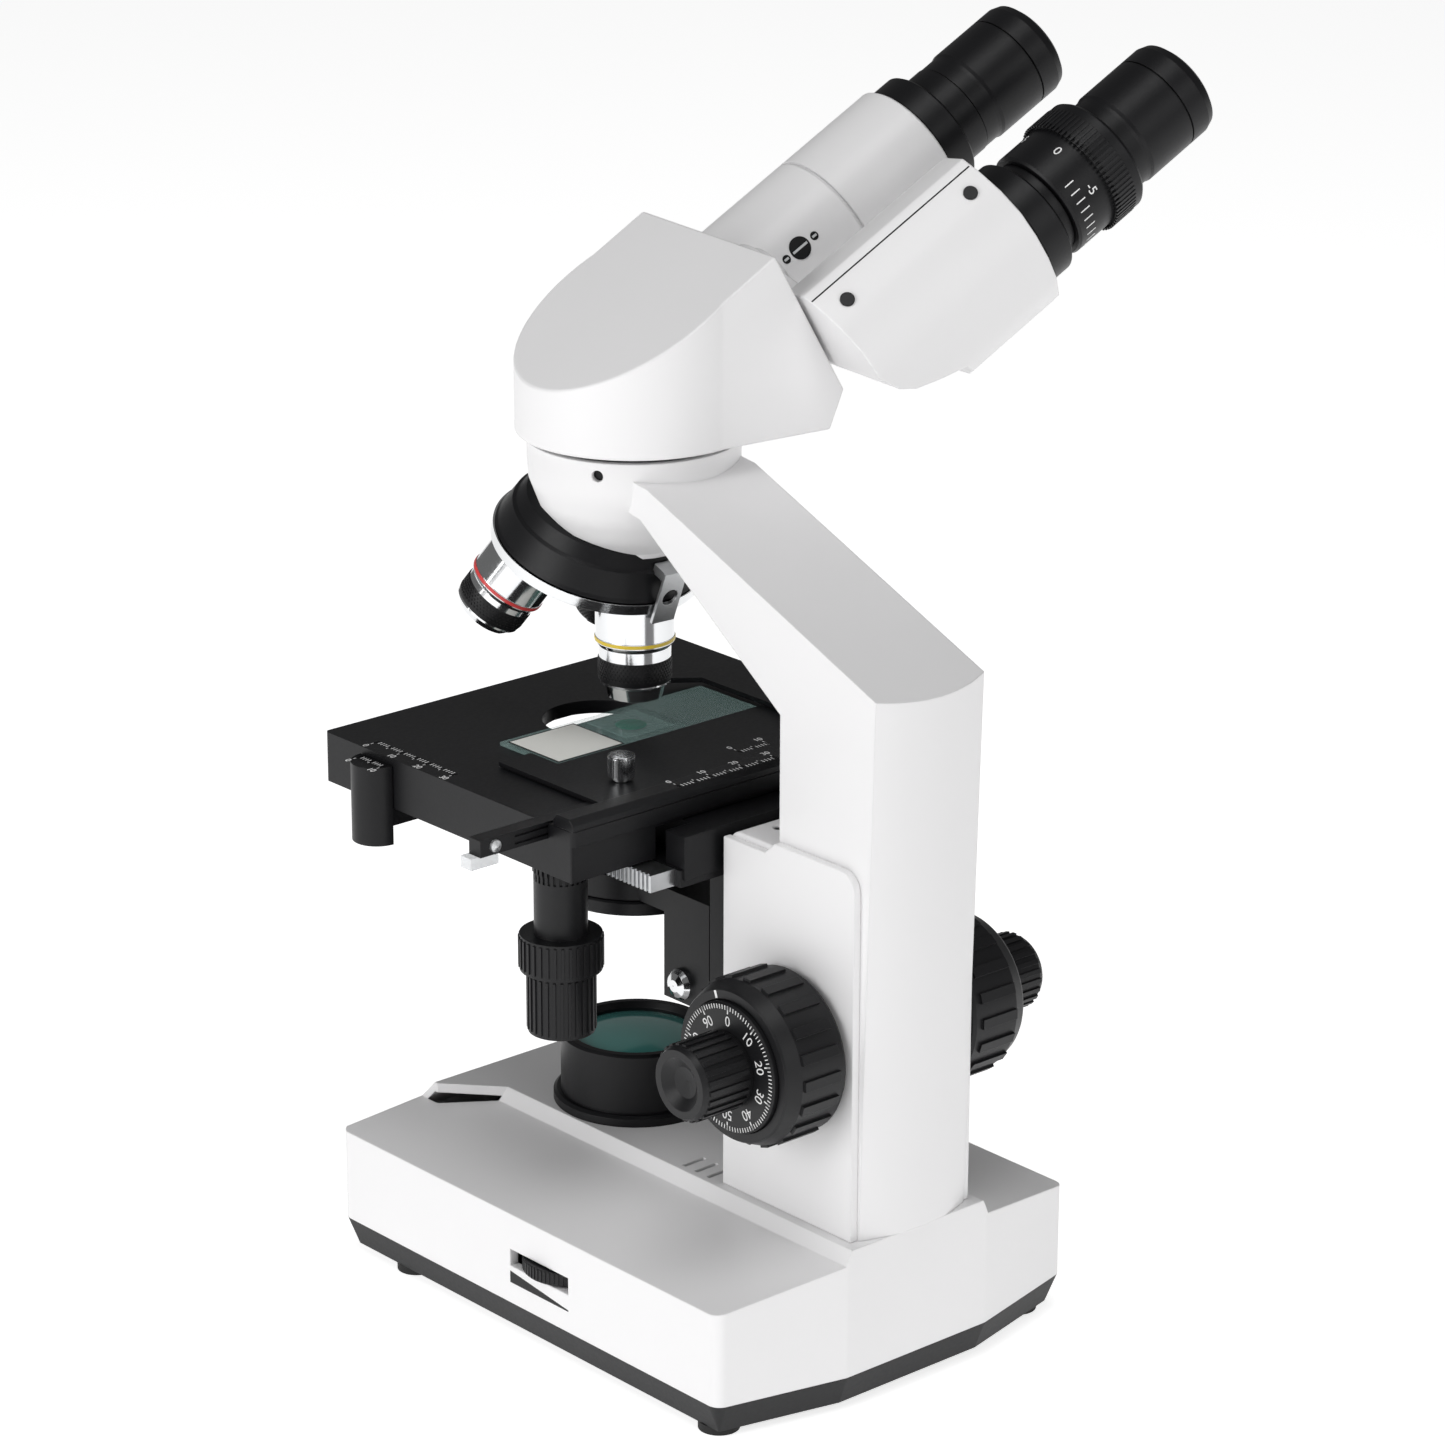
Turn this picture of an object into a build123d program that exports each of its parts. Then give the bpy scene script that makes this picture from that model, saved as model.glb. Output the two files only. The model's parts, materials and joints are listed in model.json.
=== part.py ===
from build123d import *
import math
import os

# Compound microscope, millimetres. Origin: the optical axis on the table plane.
# +Z is up, +Y runs from the arm towards the open front of the stage, +X completes the frame.
os.makedirs("parts", exist_ok=True)

# ---- driving dimensions -------------------------------------------------------------------
GAP = 0.3                      # clearance between faces of bodies that move past each other
FIT = 0.05                     # radial clearance of a running fit

# base
BASE_HALF_X = 66.6
BASE_FRONT_Y = 57.0
BASE_SIDE_REAR_Y = -111.5
BASE_REAR_Y = -121.0
BASE_REAR_HALF_X = 26.6
FOOT_R, FOOT_H = 5.9, 2.5
PLATE_TOP_Z = 11.5
PLATE_INSET = 3.5
SIDE_TOP_Z = 39.2
WING_TOP_Z = 45.5
RIDGE_TOP_Z = 50.0
RIDGE_HALF_X, RIDGE_FLARE_X = 25.2, 39.3
BASE_WALL = 3.0
RIDGE_FLANK = 2.0              # how far the ridge's sides lean out
FLARE_Y0, FLARE_Y1 = 29.0, 45.0
CORNER_R = 4.0
PLATE_FLOOR = 2.5
WIRE_HOLE_R = 8.0

# brightness wheel, standing in a slot of the left side wall
WHEEL_R, WHEEL_H = 14.0, 4.0
WHEEL_X, WHEEL_Y, WHEEL_Z = -54.4, -35.3, 25.8
SLOT_Y, SLOT_Z = 25.8, 5.2
SPINDLE_R = 2.0
DIMMER_BACK, DIMMER_DEPTH, DIMMER_HALF_Y, DIMMER_DROP = 5.0, 9.0, 8.0, 6.0

# vents, power inlet and feet
VENT_X, VENT_Y, VENT_L, VENT_W, VENT_PITCH = -19.0, -48.5, 8.0, 1.4, 5.2
INLET_R, INLET_DEPTH, PLUG_HOLE_R = 4.0, 10.0, 2.6
INLET_Y, INLET_Z = -84.0, 25.0
INLET = Plane(origin=(BASE_HALF_X, INLET_Y, INLET_Z), x_dir=(0, 1, 0), z_dir=(1, 0, 0))
FEET = [(-57.5, -102.4), (57.5, -102.4), (-57.3, 33.0), (57.3, 33.0)]

# lamp house
LAMP_R, LAMP_TOP_Z = 22.3, 71.6
LAMP_FLANGE_R, LAMP_FLANGE_H = 24.5, 3.2
LENS_R = 18.4
LENS_SEAT_Z = 67.0
LAMP_BORE_R = 15.0
LENS_H, LENS_DOME = 4.2, 2.2

# arm and neck
ARM_HALF_X = 20.0
ARM_FRONT_Y, ARM_REAR_Y = -84.3, -118.0
ARM_REAR_BULGE = 4.0
ARM_LEAN = 1.5                 # how far the rear face leans back going up, degrees
NECK_R, NECK_TOP_Z, NECK_BOTTOM_Z = 30.4, 252.2, 219.5
SOCKET_R, SOCKET_FLOOR_Z = 21.0, 246.5
NECK_BORE_R = 11.0
BOWL = [(0, NECK_BOTTOM_Z), (13.5, NECK_BOTTOM_Z), (14.0, 221.0), (21.5, 226.5), (27.0, 233.0),
        (30.0, 241.0), (NECK_R, 246.0), (NECK_R, NECK_TOP_Z), (0, NECK_TOP_Z)]
UPPER_ARM = [(ARM_FRONT_Y, 195.2), (-25.9, 237.0), (-10.0, 240.0), (-10.0, 249.0), (-28.9, 246.4)]
ARM_KNEE_Z = 206.5
NECK_SCREW_ANGLE, NECK_SCREW_Z, NECK_SCREW_R = 210, 248.4, 1.6
neck_angle = math.radians(NECK_SCREW_ANGLE)
NECK_OUT = (math.cos(neck_angle), math.sin(neck_angle), 0)
NECK_SCREW = Plane(origin=(NECK_R * NECK_OUT[0], NECK_R * NECK_OUT[1], NECK_SCREW_Z), z_dir=NECK_OUT)

# focus housing and controls
BLOCK_FRONT_Y, BLOCK_TOP_Z = -64.0, 156.5
COVER_X = 22.5
COVER_TOP_Z = 158.6
FOCUS_Y, FOCUS_Z = -93.5, 101.7
COARSE_R, COARSE_IN_X, COARSE_OUT_X = 24.0, 24.0, 45.0
DIAL_R, DIAL_X = 18.8, 46.9
FINE_R, FINE_END_X = 11.2, 64.3
FINE_SHAFT_R, COARSE_SHAFT_R = 2.5, 5.0
CAVITY_HALF_X, CAVITY_REAR_Y, CAVITY_TOP_Z = 9.0, -104.0, 150.0
CAP_X, CAP_Y, CAP_R = -9.0, -72.0, 1.5

# focus slide, stage and its controls
COLUMN_HALF_X, COLUMN_FRONT_Y, COLUMN_BOTTOM_Z = 15.0, -49.5, 80.0
TONGUE_REAR_Y, TONGUE_TOP_Z, RACK_HALF_X = -86.0, 138.0, 4.0
CARRIER_HALF_X, CARRIER_REAR_Y = 35.0, -62.0
TONGUE_HALF_X = 6.0
STAGE_TOP_Z, SKIRT_Z = 163.0, 148.0
STAGE_HALF_X, STAGE_FRONT_Y, STAGE_REAR_Y = 66.3, 60.0, -51.7
STAGE_CUT_Y, STAGE_CUT_X = 28.6, 44.2   # the diagonal cut: where it starts, and how wide it gets
STAGE_SKIN, SKIRT_WALL = 4.0, 3.0
SLAB_TOP_Z, SLAB_BOTTOM_Z = 147.2, 142.2
RAIL_HALF_X, RAIL_TOP_Z = 26.0, 157.0
APERTURE_R = 16.0
APERTURE_REAR_Y, APERTURE_FRONT_Y = -1.0, 17.0
XY_X, XY_Y = -53.0, -30.0
XY_TUBE_R, Y_KNOB_R, X_KNOB_R = 7.6, 11.7, 9.5
Y_KNOB_TOP_Z, Y_KNOB_Z, X_KNOB_Z = 124.4, 113.7, 95.1
Y_PINION_R, Y_PINION_Z = 7.9, 143.0
X_PINION_R = 5.7
BAR_Y0, BAR_Y1, BAR_Z0, BAR_TOP_Z = -41.0, -36.0, 158.6, 163.5
BAR_X0, BAR_X1 = -90.0, 26.0
HOLDER_TOP_Z = 164.6
SLIDE_L, SLIDE_W, SLIDE_T = 76.0, 26.0, 1.1
SLIDE_X, SLIDE_Y = 1.8, 4.1
BOSS_R, BOSS_Y = 7.4, 35.5
HOLDER_X0, HOLDER_X1, HOLDER_Y0 = -48.0, 47.0, -42.5
THUMB_X, THUMB_Y, THUMB_R, THUMB_STEM_R = -31.5, -31.0, 3.7, 1.5
CLIP_X, CLIP_Y, CLIP_PIN_R = 43.0, -15.0, 2.0
X_SHAFT_R = 3.2
RACK_PITCH = 1.8

# condenser
COND_R, COND_BOTTOM_Z, COND_TOP_Z = 25.0, 116.0, 137.3
COND_STEM_R = 18.0
COND_LENS_R = 13.0
COND_FLANGE_Z, BRACKET_TOP_Z = 120.4, 128.0
BRACKET_HALF_X = 15.0
IRIS_ANGLE, IRIS_REACH = 235.0, 51.0
IRIS_T, IRIS_RING_R, IRIS_BORE_R = 3.4, 16.5, 14.0
IRIS_GRIP_X, IRIS_GRIP_HALF_W, IRIS_ARM_HALF_W = 33.0, 7.0, 4.0

# nosepiece: every objective axis passes through the apex on the optical axis
APEX_Z = 256.5
TURRET_TILT = 21.2
TURRET_R = 31.5
TURRET_RIM_T, TURRET_BOTTOM_T = 41.9, 45.2
SHOULDER_T = 51.2
OBJ_R, OBJ_RING_T = 11.4, 63.3
THREAD_R, THREAD_T = 10.1, 49.0
PIVOT_R = 4.0
DOME = [(0, 24.0), (15.0, 24.0), (24.5, 29.0), (26.6, 33.0), (27.6, 33.6), (27.9, 34.4)]
SPRING_ANGLE, SPRING_T, SPRING_W, SPRING_L, SPRING_HOLE_R = 92, 1.0, 8.0, 17.0, 2.6
SPRING_FOOT_REACH, SPRING_FOOT_W, SPRING_FOOT_H, SPRING_FOOT_DROP = 6.0, 6.0, 3.0, 6.5
OBJECTIVE_ANGLES = {"objective_10x": 90, "objective_4x": 210, "objective_40x": 330}
# each objective's far end from the apex, its tip radius and the length below the knurl
OBJECTIVE_SIZES = {"objective_10x": (81.6, 7.9, 4.6), "objective_4x": (76.3, 8.9, 2.0),
                   "objective_40x": (91.0, 4.2, 4.6)}

# head
HEAD_TURN = -6.5               # where the eyepieces point, measured from +X
HEAD_TILT = 30.0               # rise of the eyepiece tubes
HEAD_HALF_W, HEAD_R = 32.8, 33.8
HEAD_BOTTOM_Z = 254.1
FACE_TOP_H, FACE_TOP_Z = 25.3, 306.9
FACE_HEIGHT = 48.2
TUBE_DX, TUBE_DY = 34.7, -19.0     # tube axis from the hinge axis, across and along the exit face
RIGHT_TUBE_R, RIGHT_TUBE_END, RIGHT_SEAM = 20.4, 86.0, 51.0
LEFT_TUBE_END = 65.0
EYEPIECE_R = 15.3
EYEPIECE_END = 138.0
EYE_SLEEVE_R = 11.6
HINGE_R, HINGE_TUBE_R, LUG_R, LUG_T = 9.0, 7.0, 12.5, 4.0
TUBE_START = 1.2               # the housings stand this far off the head's exit face
COLLAR_R, COLLAR_L = 18.8, 9.6
RIGHT_NECK_L, LEFT_NECK_L = 18.2, 13.7
EYETUBE_R, EYETUBE_NECK_R = 13.6, 15.0
DIOPTER_Z0 = LEFT_TUBE_END + LEFT_NECK_L + GAP
DIOPTER_R, DIOPTER_KNURL_R, DIOPTER_SCALE_L, DIOPTER_L = 17.1, 18.4, 15.0, 25.3
EYEPIECE_START = 104.5
COVER_SCREW_R, COVER_SCREW_H = 2.1, 2.0
COVER_SCREW_Z = (9.0, 58.0)
COVER_SCREW_X, COVER_SCREW_Y, COVER_SLOPE = -7.05, 22.66, 39.4
LEFT_BELLY = [(-15.5, TUBE_START), (-22.0, 5.0), (-26.0, 10.0), (-33.0, 28.0), (-42.0, 32.0)]
LEFT_SECTION = [(-18.3, 3.6), (-24.8, 7.4), (-33.9, 9.2), (-40.0, 5.6), (-46.1, 0.6), (-51.2, -6.1),
                (-53.6, -13.9), (-54.4, -21.7), (-53.6, -29.0), (-50.6, -36.0), (-44.5, -40.4),
                (-35.0, -41.6), (-25.0, -39.5), (-18.0, -34.0), (-15.2, -26.0), (-15.0, -4.0)]


# ---- small helpers ------------------------------------------------------------------------
def save(solid, name):
    export_step(solid, f"parts/{name}.step")


def block(x0, x1, y0, y1, z0, z1):
    """A box between two corners."""
    size = (x1 - x0, y1 - y0, z1 - z0)
    return Pos((x0 + x1) / 2, (y0 + y1) / 2, (z0 + z1) / 2) * Box(*size)


def disc(radius, z0, z1, x=0.0, y=0.0):
    """A vertical cylinder between two heights."""
    return Pos(x, y, (z0 + z1) / 2) * Cylinder(radius, z1 - z0)


def tube(outer, inner, z0, z1, x=0.0, y=0.0):
    return disc(outer, z0, z1, x, y) - disc(inner, z0 - 1, z1 + 1, x, y)


def turned(profile, plane=Plane.XY):
    """A lathe part: (radius, height) corners turned about the plane's normal."""
    wire = Polyline(*[(r, 0, z) for r, z in profile], close=True)
    return plane * revolve(make_face(wire), Axis.Z)


def plate(points, z0, z1, rounding=0.0, plane=Plane.XY):
    """A flat outline with rounded corners, extruded from z0 to z1 of the plane."""
    outline = make_face(Polyline(*points, close=True))
    if rounding:
        outline = fillet(outline.vertices(), rounding)
    return plane * (Pos(0, 0, z0) * extrude(outline, z1 - z0))


def side_profile(points, half_width):
    """A (y, z) outline extruded symmetrically across X."""
    wire = Polyline(*[(0, y, z) for y, z in points], close=True)
    return extrude(make_face(wire), half_width, dir=(1, 0, 0), both=True)


def ring_of(solid, count, plane=Plane.XY, start=0.0):
    """Copies of a solid turned about the plane's normal."""
    return [plane * (Rot(0, 0, start + 360 * i / count) * solid) for i in range(count)]


def group(solids):
    return Compound(children=list(solids))


# ---- frames -------------------------------------------------------------------------------
turn, tilt = math.radians(HEAD_TURN), math.radians(HEAD_TILT)
HEAD_H = Vector(math.cos(turn), math.sin(turn), 0)
HEAD_LEFT = Vector(math.sin(turn), -math.cos(turn), 0)
TUBE_DIR = HEAD_H * math.cos(tilt) + Vector(0, 0, math.sin(tilt))
FACE_UP = Vector(0, 0, math.cos(tilt)) - HEAD_H * math.sin(tilt)
HINGE_ORIGIN = HEAD_H * FACE_TOP_H + Vector(0, 0, FACE_TOP_Z) - FACE_UP * (FACE_HEIGHT / 2)
HEAD_PLAN = Plane(origin=(0, 0, 0), x_dir=HEAD_H, z_dir=(0, 0, 1))
HEAD_SECTION = Plane(origin=(0, 0, 0), x_dir=HEAD_H, z_dir=HEAD_LEFT)
HINGE = Plane(origin=HINGE_ORIGIN, x_dir=HEAD_LEFT * -1, z_dir=TUBE_DIR)
RIGHT_AXIS = HINGE * Pos(TUBE_DX, TUBE_DY, 0)
LEFT_AXIS = HINGE * Pos(-TUBE_DX, TUBE_DY, 0)

lean = math.radians(TURRET_TILT)
TURRET_DIR = Vector(0, math.sin(lean), -math.cos(lean))
TURRET = Plane(origin=(0, 0, APEX_Z), x_dir=(1, 0, 0), z_dir=TURRET_DIR)
FOCUS = Plane(origin=(0, FOCUS_Y, FOCUS_Z), x_dir=(0, 1, 0), z_dir=(1, 0, 0))


def objective_plane(angle):
    """The frame of an objective: from the apex, along its optical axis."""
    a = math.radians(angle)
    across = TURRET.x_dir * math.cos(a) + TURRET.y_dir * math.sin(a)
    axis = TURRET_DIR * math.cos(lean) + across * math.sin(lean)
    return Plane(origin=(0, 0, APEX_Z), x_dir=TURRET_DIR.cross(across), z_dir=axis)


# ---- base ---------------------------------------------------------------------------------
def base_outline(inset=0.0):
    """Plan of the base: square at the front, wings swept in at the rear."""
    w, f = BASE_HALF_X - inset, BASE_FRONT_Y - inset
    s, r, c = BASE_SIDE_REAR_Y + inset, BASE_REAR_Y + inset, BASE_REAR_HALF_X
    return [(-w, f), (w, f), (w, s), (c, r), (-c, r), (-w, s)]


def base_hump(drop=0.0):
    """The cross-section of the base over its whole length, with a bevelled front."""
    w = BASE_HALF_X + 1
    outline = [(-w, 0), (w, 0), (w, SIDE_TOP_Z - drop), (RIDGE_HALF_X + RIDGE_FLANK, WING_TOP_Z - drop),
               (RIDGE_HALF_X, RIDGE_TOP_Z - drop), (-RIDGE_HALF_X, RIDGE_TOP_Z - drop),
               (-RIDGE_HALF_X - RIDGE_FLANK, WING_TOP_Z - drop), (-w, SIDE_TOP_Z - drop)]
    wire = Polyline(*[(x, BASE_REAR_Y - 1, z) for x, z in outline], close=True)
    length = BASE_FRONT_Y - BASE_REAR_Y + 2
    hump = extrude(make_face(wire), length, dir=(0, 1, 0))
    r, f = RIDGE_HALF_X, RIDGE_FLARE_X
    y0, y1, y2 = FLARE_Y0, FLARE_Y1, BASE_FRONT_Y + 3
    hump += plate([(-r, y0), (r, y0), (f, y1), (f, y2), (-f, y2), (-f, y1)], 0, RIDGE_TOP_Z - drop)
    bevel_z = SIDE_TOP_Z - drop
    front = [(BASE_FRONT_Y + 1, bevel_z - 1), (BASE_FRONT_Y + 30, bevel_z - 1),
             (BASE_FRONT_Y + 30, bevel_z + 29), (BASE_FRONT_Y - 29, bevel_z + 29)]
    return hump - side_profile(front, BASE_HALF_X + 2)


def base_shell():
    body = plate(base_outline(), PLATE_TOP_Z, RIDGE_TOP_Z, rounding=CORNER_R) & base_hump()
    hollow = plate(base_outline(BASE_WALL), 0, RIDGE_TOP_Z) & base_hump(BASE_WALL)
    shell = body - hollow
    slot = block(-BASE_HALF_X - 2, -BASE_HALF_X + 5, WHEEL_Y - SLOT_Y / 2, WHEEL_Y + SLOT_Y / 2,
                 WHEEL_Z - SLOT_Z / 2, WHEEL_Z + SLOT_Z / 2)
    shell -= slot
    shell -= disc(WIRE_HOLE_R, RIDGE_TOP_Z - 5, RIDGE_TOP_Z + 1)
    for i in range(3):
        y = VENT_Y - i * VENT_PITCH
        shell -= block(VENT_X - VENT_L / 2, VENT_X + VENT_L / 2, y, y + VENT_W,
                       RIDGE_TOP_Z - 5, RIDGE_TOP_Z + 1)
    shell -= INLET * Cylinder(INLET_R, 12)
    return shell


def base_plate():
    """The dark bottom cover, tapering in towards the table."""
    top = make_face(Polyline(*base_outline(), close=True))
    top = fillet(top.vertices(), CORNER_R)
    height = PLATE_TOP_Z - FOOT_H
    taper = math.degrees(math.atan2(PLATE_INSET, height))
    body = extrude(Pos(0, 0, PLATE_TOP_Z) * top, height, dir=(0, 0, -1), taper=taper)
    pocket = plate(base_outline(BASE_WALL + PLATE_INSET), FOOT_H + PLATE_FLOOR, PLATE_TOP_Z + 1)
    return body - pocket


def feet():
    return group([disc(FOOT_R, 0, FOOT_H, x, y) for x, y in FEET])


def brightness_wheel():
    wheel = disc(WHEEL_R, WHEEL_Z - WHEEL_H / 2, WHEEL_Z + WHEEL_H / 2, WHEEL_X, WHEEL_Y)
    return wheel - disc(SPINDLE_R + FIT, 0, RIDGE_TOP_Z, WHEEL_X, WHEEL_Y)


def dimmer_body():
    """The potentiometer under the wheel, with the spindle that the wheel turns on."""
    x, y = WHEEL_X, WHEEL_Y
    z = WHEEL_Z - WHEEL_H / 2 - GAP
    case = block(x - DIMMER_BACK, x + DIMMER_DEPTH, y - DIMMER_HALF_Y, y + DIMMER_HALF_Y,
                 PLATE_TOP_Z - DIMMER_DROP, z)
    return case + disc(SPINDLE_R, z, WHEEL_Z + WHEEL_H / 2, x, y)


def power_inlet():
    socket = INLET * Pos(0, 0, -INLET_DEPTH / 2) * Cylinder(INLET_R, INLET_DEPTH)
    return socket - INLET * Cylinder(PLUG_HOLE_R, INLET_DEPTH + 2)


# ---- lamp ---------------------------------------------------------------------------------
def lamp_housing():
    z = RIDGE_TOP_Z
    return turned([(LAMP_BORE_R, z), (LAMP_FLANGE_R, z), (LAMP_FLANGE_R, z + LAMP_FLANGE_H - 0.8),
                   (LAMP_FLANGE_R - 1.0, z + LAMP_FLANGE_H), (LAMP_R, z + LAMP_FLANGE_H),
                   (LAMP_R, LAMP_TOP_Z - 0.8), (LAMP_R - 0.8, LAMP_TOP_Z), (LENS_R + 1.2, LAMP_TOP_Z),
                   (LENS_R, LAMP_TOP_Z - 1.6), (LENS_R, LENS_SEAT_Z), (LAMP_BORE_R, LENS_SEAT_Z)])


def field_lens():
    z = LENS_SEAT_Z
    dome_r = (LENS_R ** 2 + LENS_DOME ** 2) / (2 * LENS_DOME)
    drum = disc(LENS_R, z, z + LENS_H)
    ball = Pos(0, 0, z + LENS_H - dome_r) * Sphere(dome_r)
    return drum & ball


def led_module():
    """The LED on its heat-sink post below the lens."""
    return disc(7.5, RIDGE_TOP_Z - 20, RIDGE_TOP_Z + 2) + disc(3.0, RIDGE_TOP_Z + 2, RIDGE_TOP_Z + 4)


def below_dome():
    """Everything on the turret's side of the dome's flat face."""
    face = TURRET_RIM_T - GAP
    return turned([(0, face), (60, face), (60, 90), (0, 90)], TURRET)


# ---- arm and focus housing -----------------------------------------------------------------
def arm():
    """Column, sloping arm and bowl-shaped neck, cast in one piece."""
    rear = ARM_REAR_Y - ARM_REAR_BULGE
    side = [(ARM_FRONT_Y, RIDGE_TOP_Z)] + UPPER_ARM + [(rear - 5, ARM_KNEE_Z), (rear - 5, RIDGE_TOP_Z)]
    body = side_profile(side, ARM_HALF_X)
    bulge_r = (ARM_HALF_X ** 2 + ARM_REAR_BULGE ** 2) / (2 * ARM_REAR_BULGE)
    back = Pos(0, rear + bulge_r, RIDGE_TOP_Z) * Rot(ARM_LEAN, 0, 0) * Cylinder(bulge_r, 500)
    body &= back + block(-40, 40, ARM_REAR_Y + 20, 20, 0, 300)
    body += turned(BOWL)
    body -= below_dome()
    body -= disc(SOCKET_R, SOCKET_FLOOR_Z, NECK_TOP_Z + 1)
    body -= disc(NECK_BORE_R, NECK_BOTTOM_Z - 1, NECK_TOP_Z)
    body -= NECK_SCREW * Cylinder(NECK_SCREW_R + FIT, 30)
    body -= block(-CAVITY_HALF_X, CAVITY_HALF_X, CAVITY_REAR_Y, ARM_FRONT_Y + 1,
                  RIDGE_TOP_Z + 6, CAVITY_TOP_Z)
    body -= FOCUS * Cylinder(COARSE_SHAFT_R + FIT, 60)
    return body


ARM = arm()


def focus_housing():
    """The block in front of the column that the focus slide runs in."""
    body = block(-ARM_HALF_X, ARM_HALF_X, ARM_FRONT_Y, BLOCK_FRONT_Y, RIDGE_TOP_Z, BLOCK_TOP_Z)
    body = fillet(body.edges().filter_by(Axis.X).group_by(Axis.Y)[-1].sort_by(Axis.Z)[-1], 4.0)
    body -= block(-CAVITY_HALF_X, CAVITY_HALF_X, ARM_FRONT_Y - 1, -70.0,
                  RIDGE_TOP_Z + 6, CAVITY_TOP_Z)
    body -= block(-TONGUE_HALF_X - FIT, TONGUE_HALF_X + FIT, -71.0, BLOCK_FRONT_Y + 1,
                  RIDGE_TOP_Z + 6, CAVITY_TOP_Z)
    body -= disc(CAP_R + 0.1, BLOCK_TOP_Z - 4, BLOCK_TOP_Z + 1, CAP_X, CAP_Y)
    return body


def side_cover(side):
    """The flat cover over the focus drive on one side of the arm."""
    rear = ARM_REAR_Y + 0.6
    outline = [(BLOCK_FRONT_Y, RIDGE_TOP_Z), (BLOCK_FRONT_Y, BLOCK_TOP_Z - 1.5), (-81.0, BLOCK_TOP_Z - 1.5),
               (-85.0, COVER_TOP_Z), (rear, COVER_TOP_Z), (rear, RIDGE_TOP_Z)]
    wire = Polyline(*[(0, y, z) for y, z in outline], close=True)
    face = make_face(wire)
    corner = face.vertices().sort_by(Axis.Y)[0:2].sort_by(Axis.Z)[-1]
    face = fillet(corner, 6.0)
    body = Pos(side * ARM_HALF_X, 0, 0) * extrude(face, COVER_X - ARM_HALF_X, dir=(side, 0, 0))
    return body - FOCUS * Cylinder(COARSE_SHAFT_R + FIT, 60)


def stand_screws():
    """Separate fasteners of the stand: base plate, neck set screw and the housing's cap screw."""
    under = [disc(3.2, FOOT_H - 1.0, FOOT_H, x, y) for x in (-40, 40) for y in (-95, 40)]
    neck = NECK_SCREW * Pos(0, 0, -5.2) * Cylinder(NECK_SCREW_R, 7.0)
    cap = disc(CAP_R, BLOCK_TOP_Z - 4, BLOCK_TOP_Z - 0.6, CAP_X, CAP_Y)
    return group(under + [neck, cap])


# ---- focus drive ---------------------------------------------------------------------------
def coarse_knob(side):
    n = 20
    inner, outer = COARSE_IN_X, COARSE_OUT_X
    body = turned([(COARSE_SHAFT_R, inner), (COARSE_R - 1.2, inner), (COARSE_R - 0.4, inner + 1.0),
                   (COARSE_R - 0.4, outer - 4.5), (COARSE_R - 2.0, outer - 0.6), (COARSE_R - 2.4, outer),
                   (DIAL_R + GAP, outer), (DIAL_R + GAP, outer - 2.5), (COARSE_SHAFT_R, outer - 2.5)])
    rib = block(COARSE_R - 1.4, COARSE_R + 0.4, -1.5, 1.5, inner + 3.0, outer - 5.0)
    body = body + ring_of(rib, n)
    knob = FOCUS * (Rot(180 if side < 0 else 0, 0, 0) * body)
    return knob


def coarse_shaft():
    """Hollow shaft with the focus pinion cut at its middle."""
    half = COARSE_OUT_X - 2.5
    shaft = Cylinder(COARSE_SHAFT_R, 2 * half) - Cylinder(FINE_SHAFT_R + FIT, 2 * half + 2)
    groove = block(COARSE_SHAFT_R - 0.7, COARSE_SHAFT_R + 1, -0.5, 0.5, -7, 7)
    return FOCUS * (shaft - ring_of(groove, 16))


def fine_shaft():
    return FOCUS * Cylinder(FINE_SHAFT_R, 2 * (FINE_END_X - 6))


def graduated_dial():
    inner = COARSE_OUT_X - 2.5 + GAP
    body = turned([(FINE_SHAFT_R, inner), (DIAL_R, inner), (DIAL_R, DIAL_X - 0.6), (DIAL_R - 0.6, DIAL_X),
                   (FINE_SHAFT_R, DIAL_X)])
    return FOCUS * (Rot(180, 0, 0) * body)


def fine_knob(side):
    start = DIAL_X if side < 0 else COARSE_OUT_X + GAP
    body = turned([(FINE_SHAFT_R, start), (FINE_R - 0.6, start), (FINE_R - 0.6, FINE_END_X - 1.6),
                   (FINE_R - 1.4, FINE_END_X), (7.6, FINE_END_X), (4.5, FINE_END_X - 2.2),
                   (0, FINE_END_X - 3.0), (0, FINE_END_X - 6.0), (FINE_SHAFT_R, FINE_END_X - 6.0)])
    rib = block(FINE_R - 1.4, FINE_R, -0.7, 0.7, start + 1.5, FINE_END_X - 1.8)
    body = body + ring_of(rib, 24)
    return FOCUS * (Rot(180 if side < 0 else 0, 0, 0) * body)


def focus_column():
    """The black slide that carries the stage, with its tongue running in the housing."""
    front = block(-COLUMN_HALF_X, COLUMN_HALF_X, BLOCK_FRONT_Y + GAP, COLUMN_FRONT_Y,
                  COLUMN_BOTTOM_Z, SLAB_BOTTOM_Z)
    tongue = block(-TONGUE_HALF_X, TONGUE_HALF_X, TONGUE_REAR_Y, BLOCK_FRONT_Y + GAP,
                   COLUMN_BOTTOM_Z, TONGUE_TOP_Z)
    return front + tongue


def focus_rack():
    rack = block(-RACK_HALF_X, RACK_HALF_X, FOCUS_Y + COARSE_SHAFT_R + GAP, TONGUE_REAR_Y,
                 COLUMN_BOTTOM_Z, TONGUE_TOP_Z)
    gaps = [block(-5, 5, FOCUS_Y, FOCUS_Y + COARSE_SHAFT_R + GAP + 0.8, z, z + RACK_PITCH / 2)
            for z in [COLUMN_BOTTOM_Z + 1 + RACK_PITCH * i for i in range(31)]]
    return rack - gaps


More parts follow.
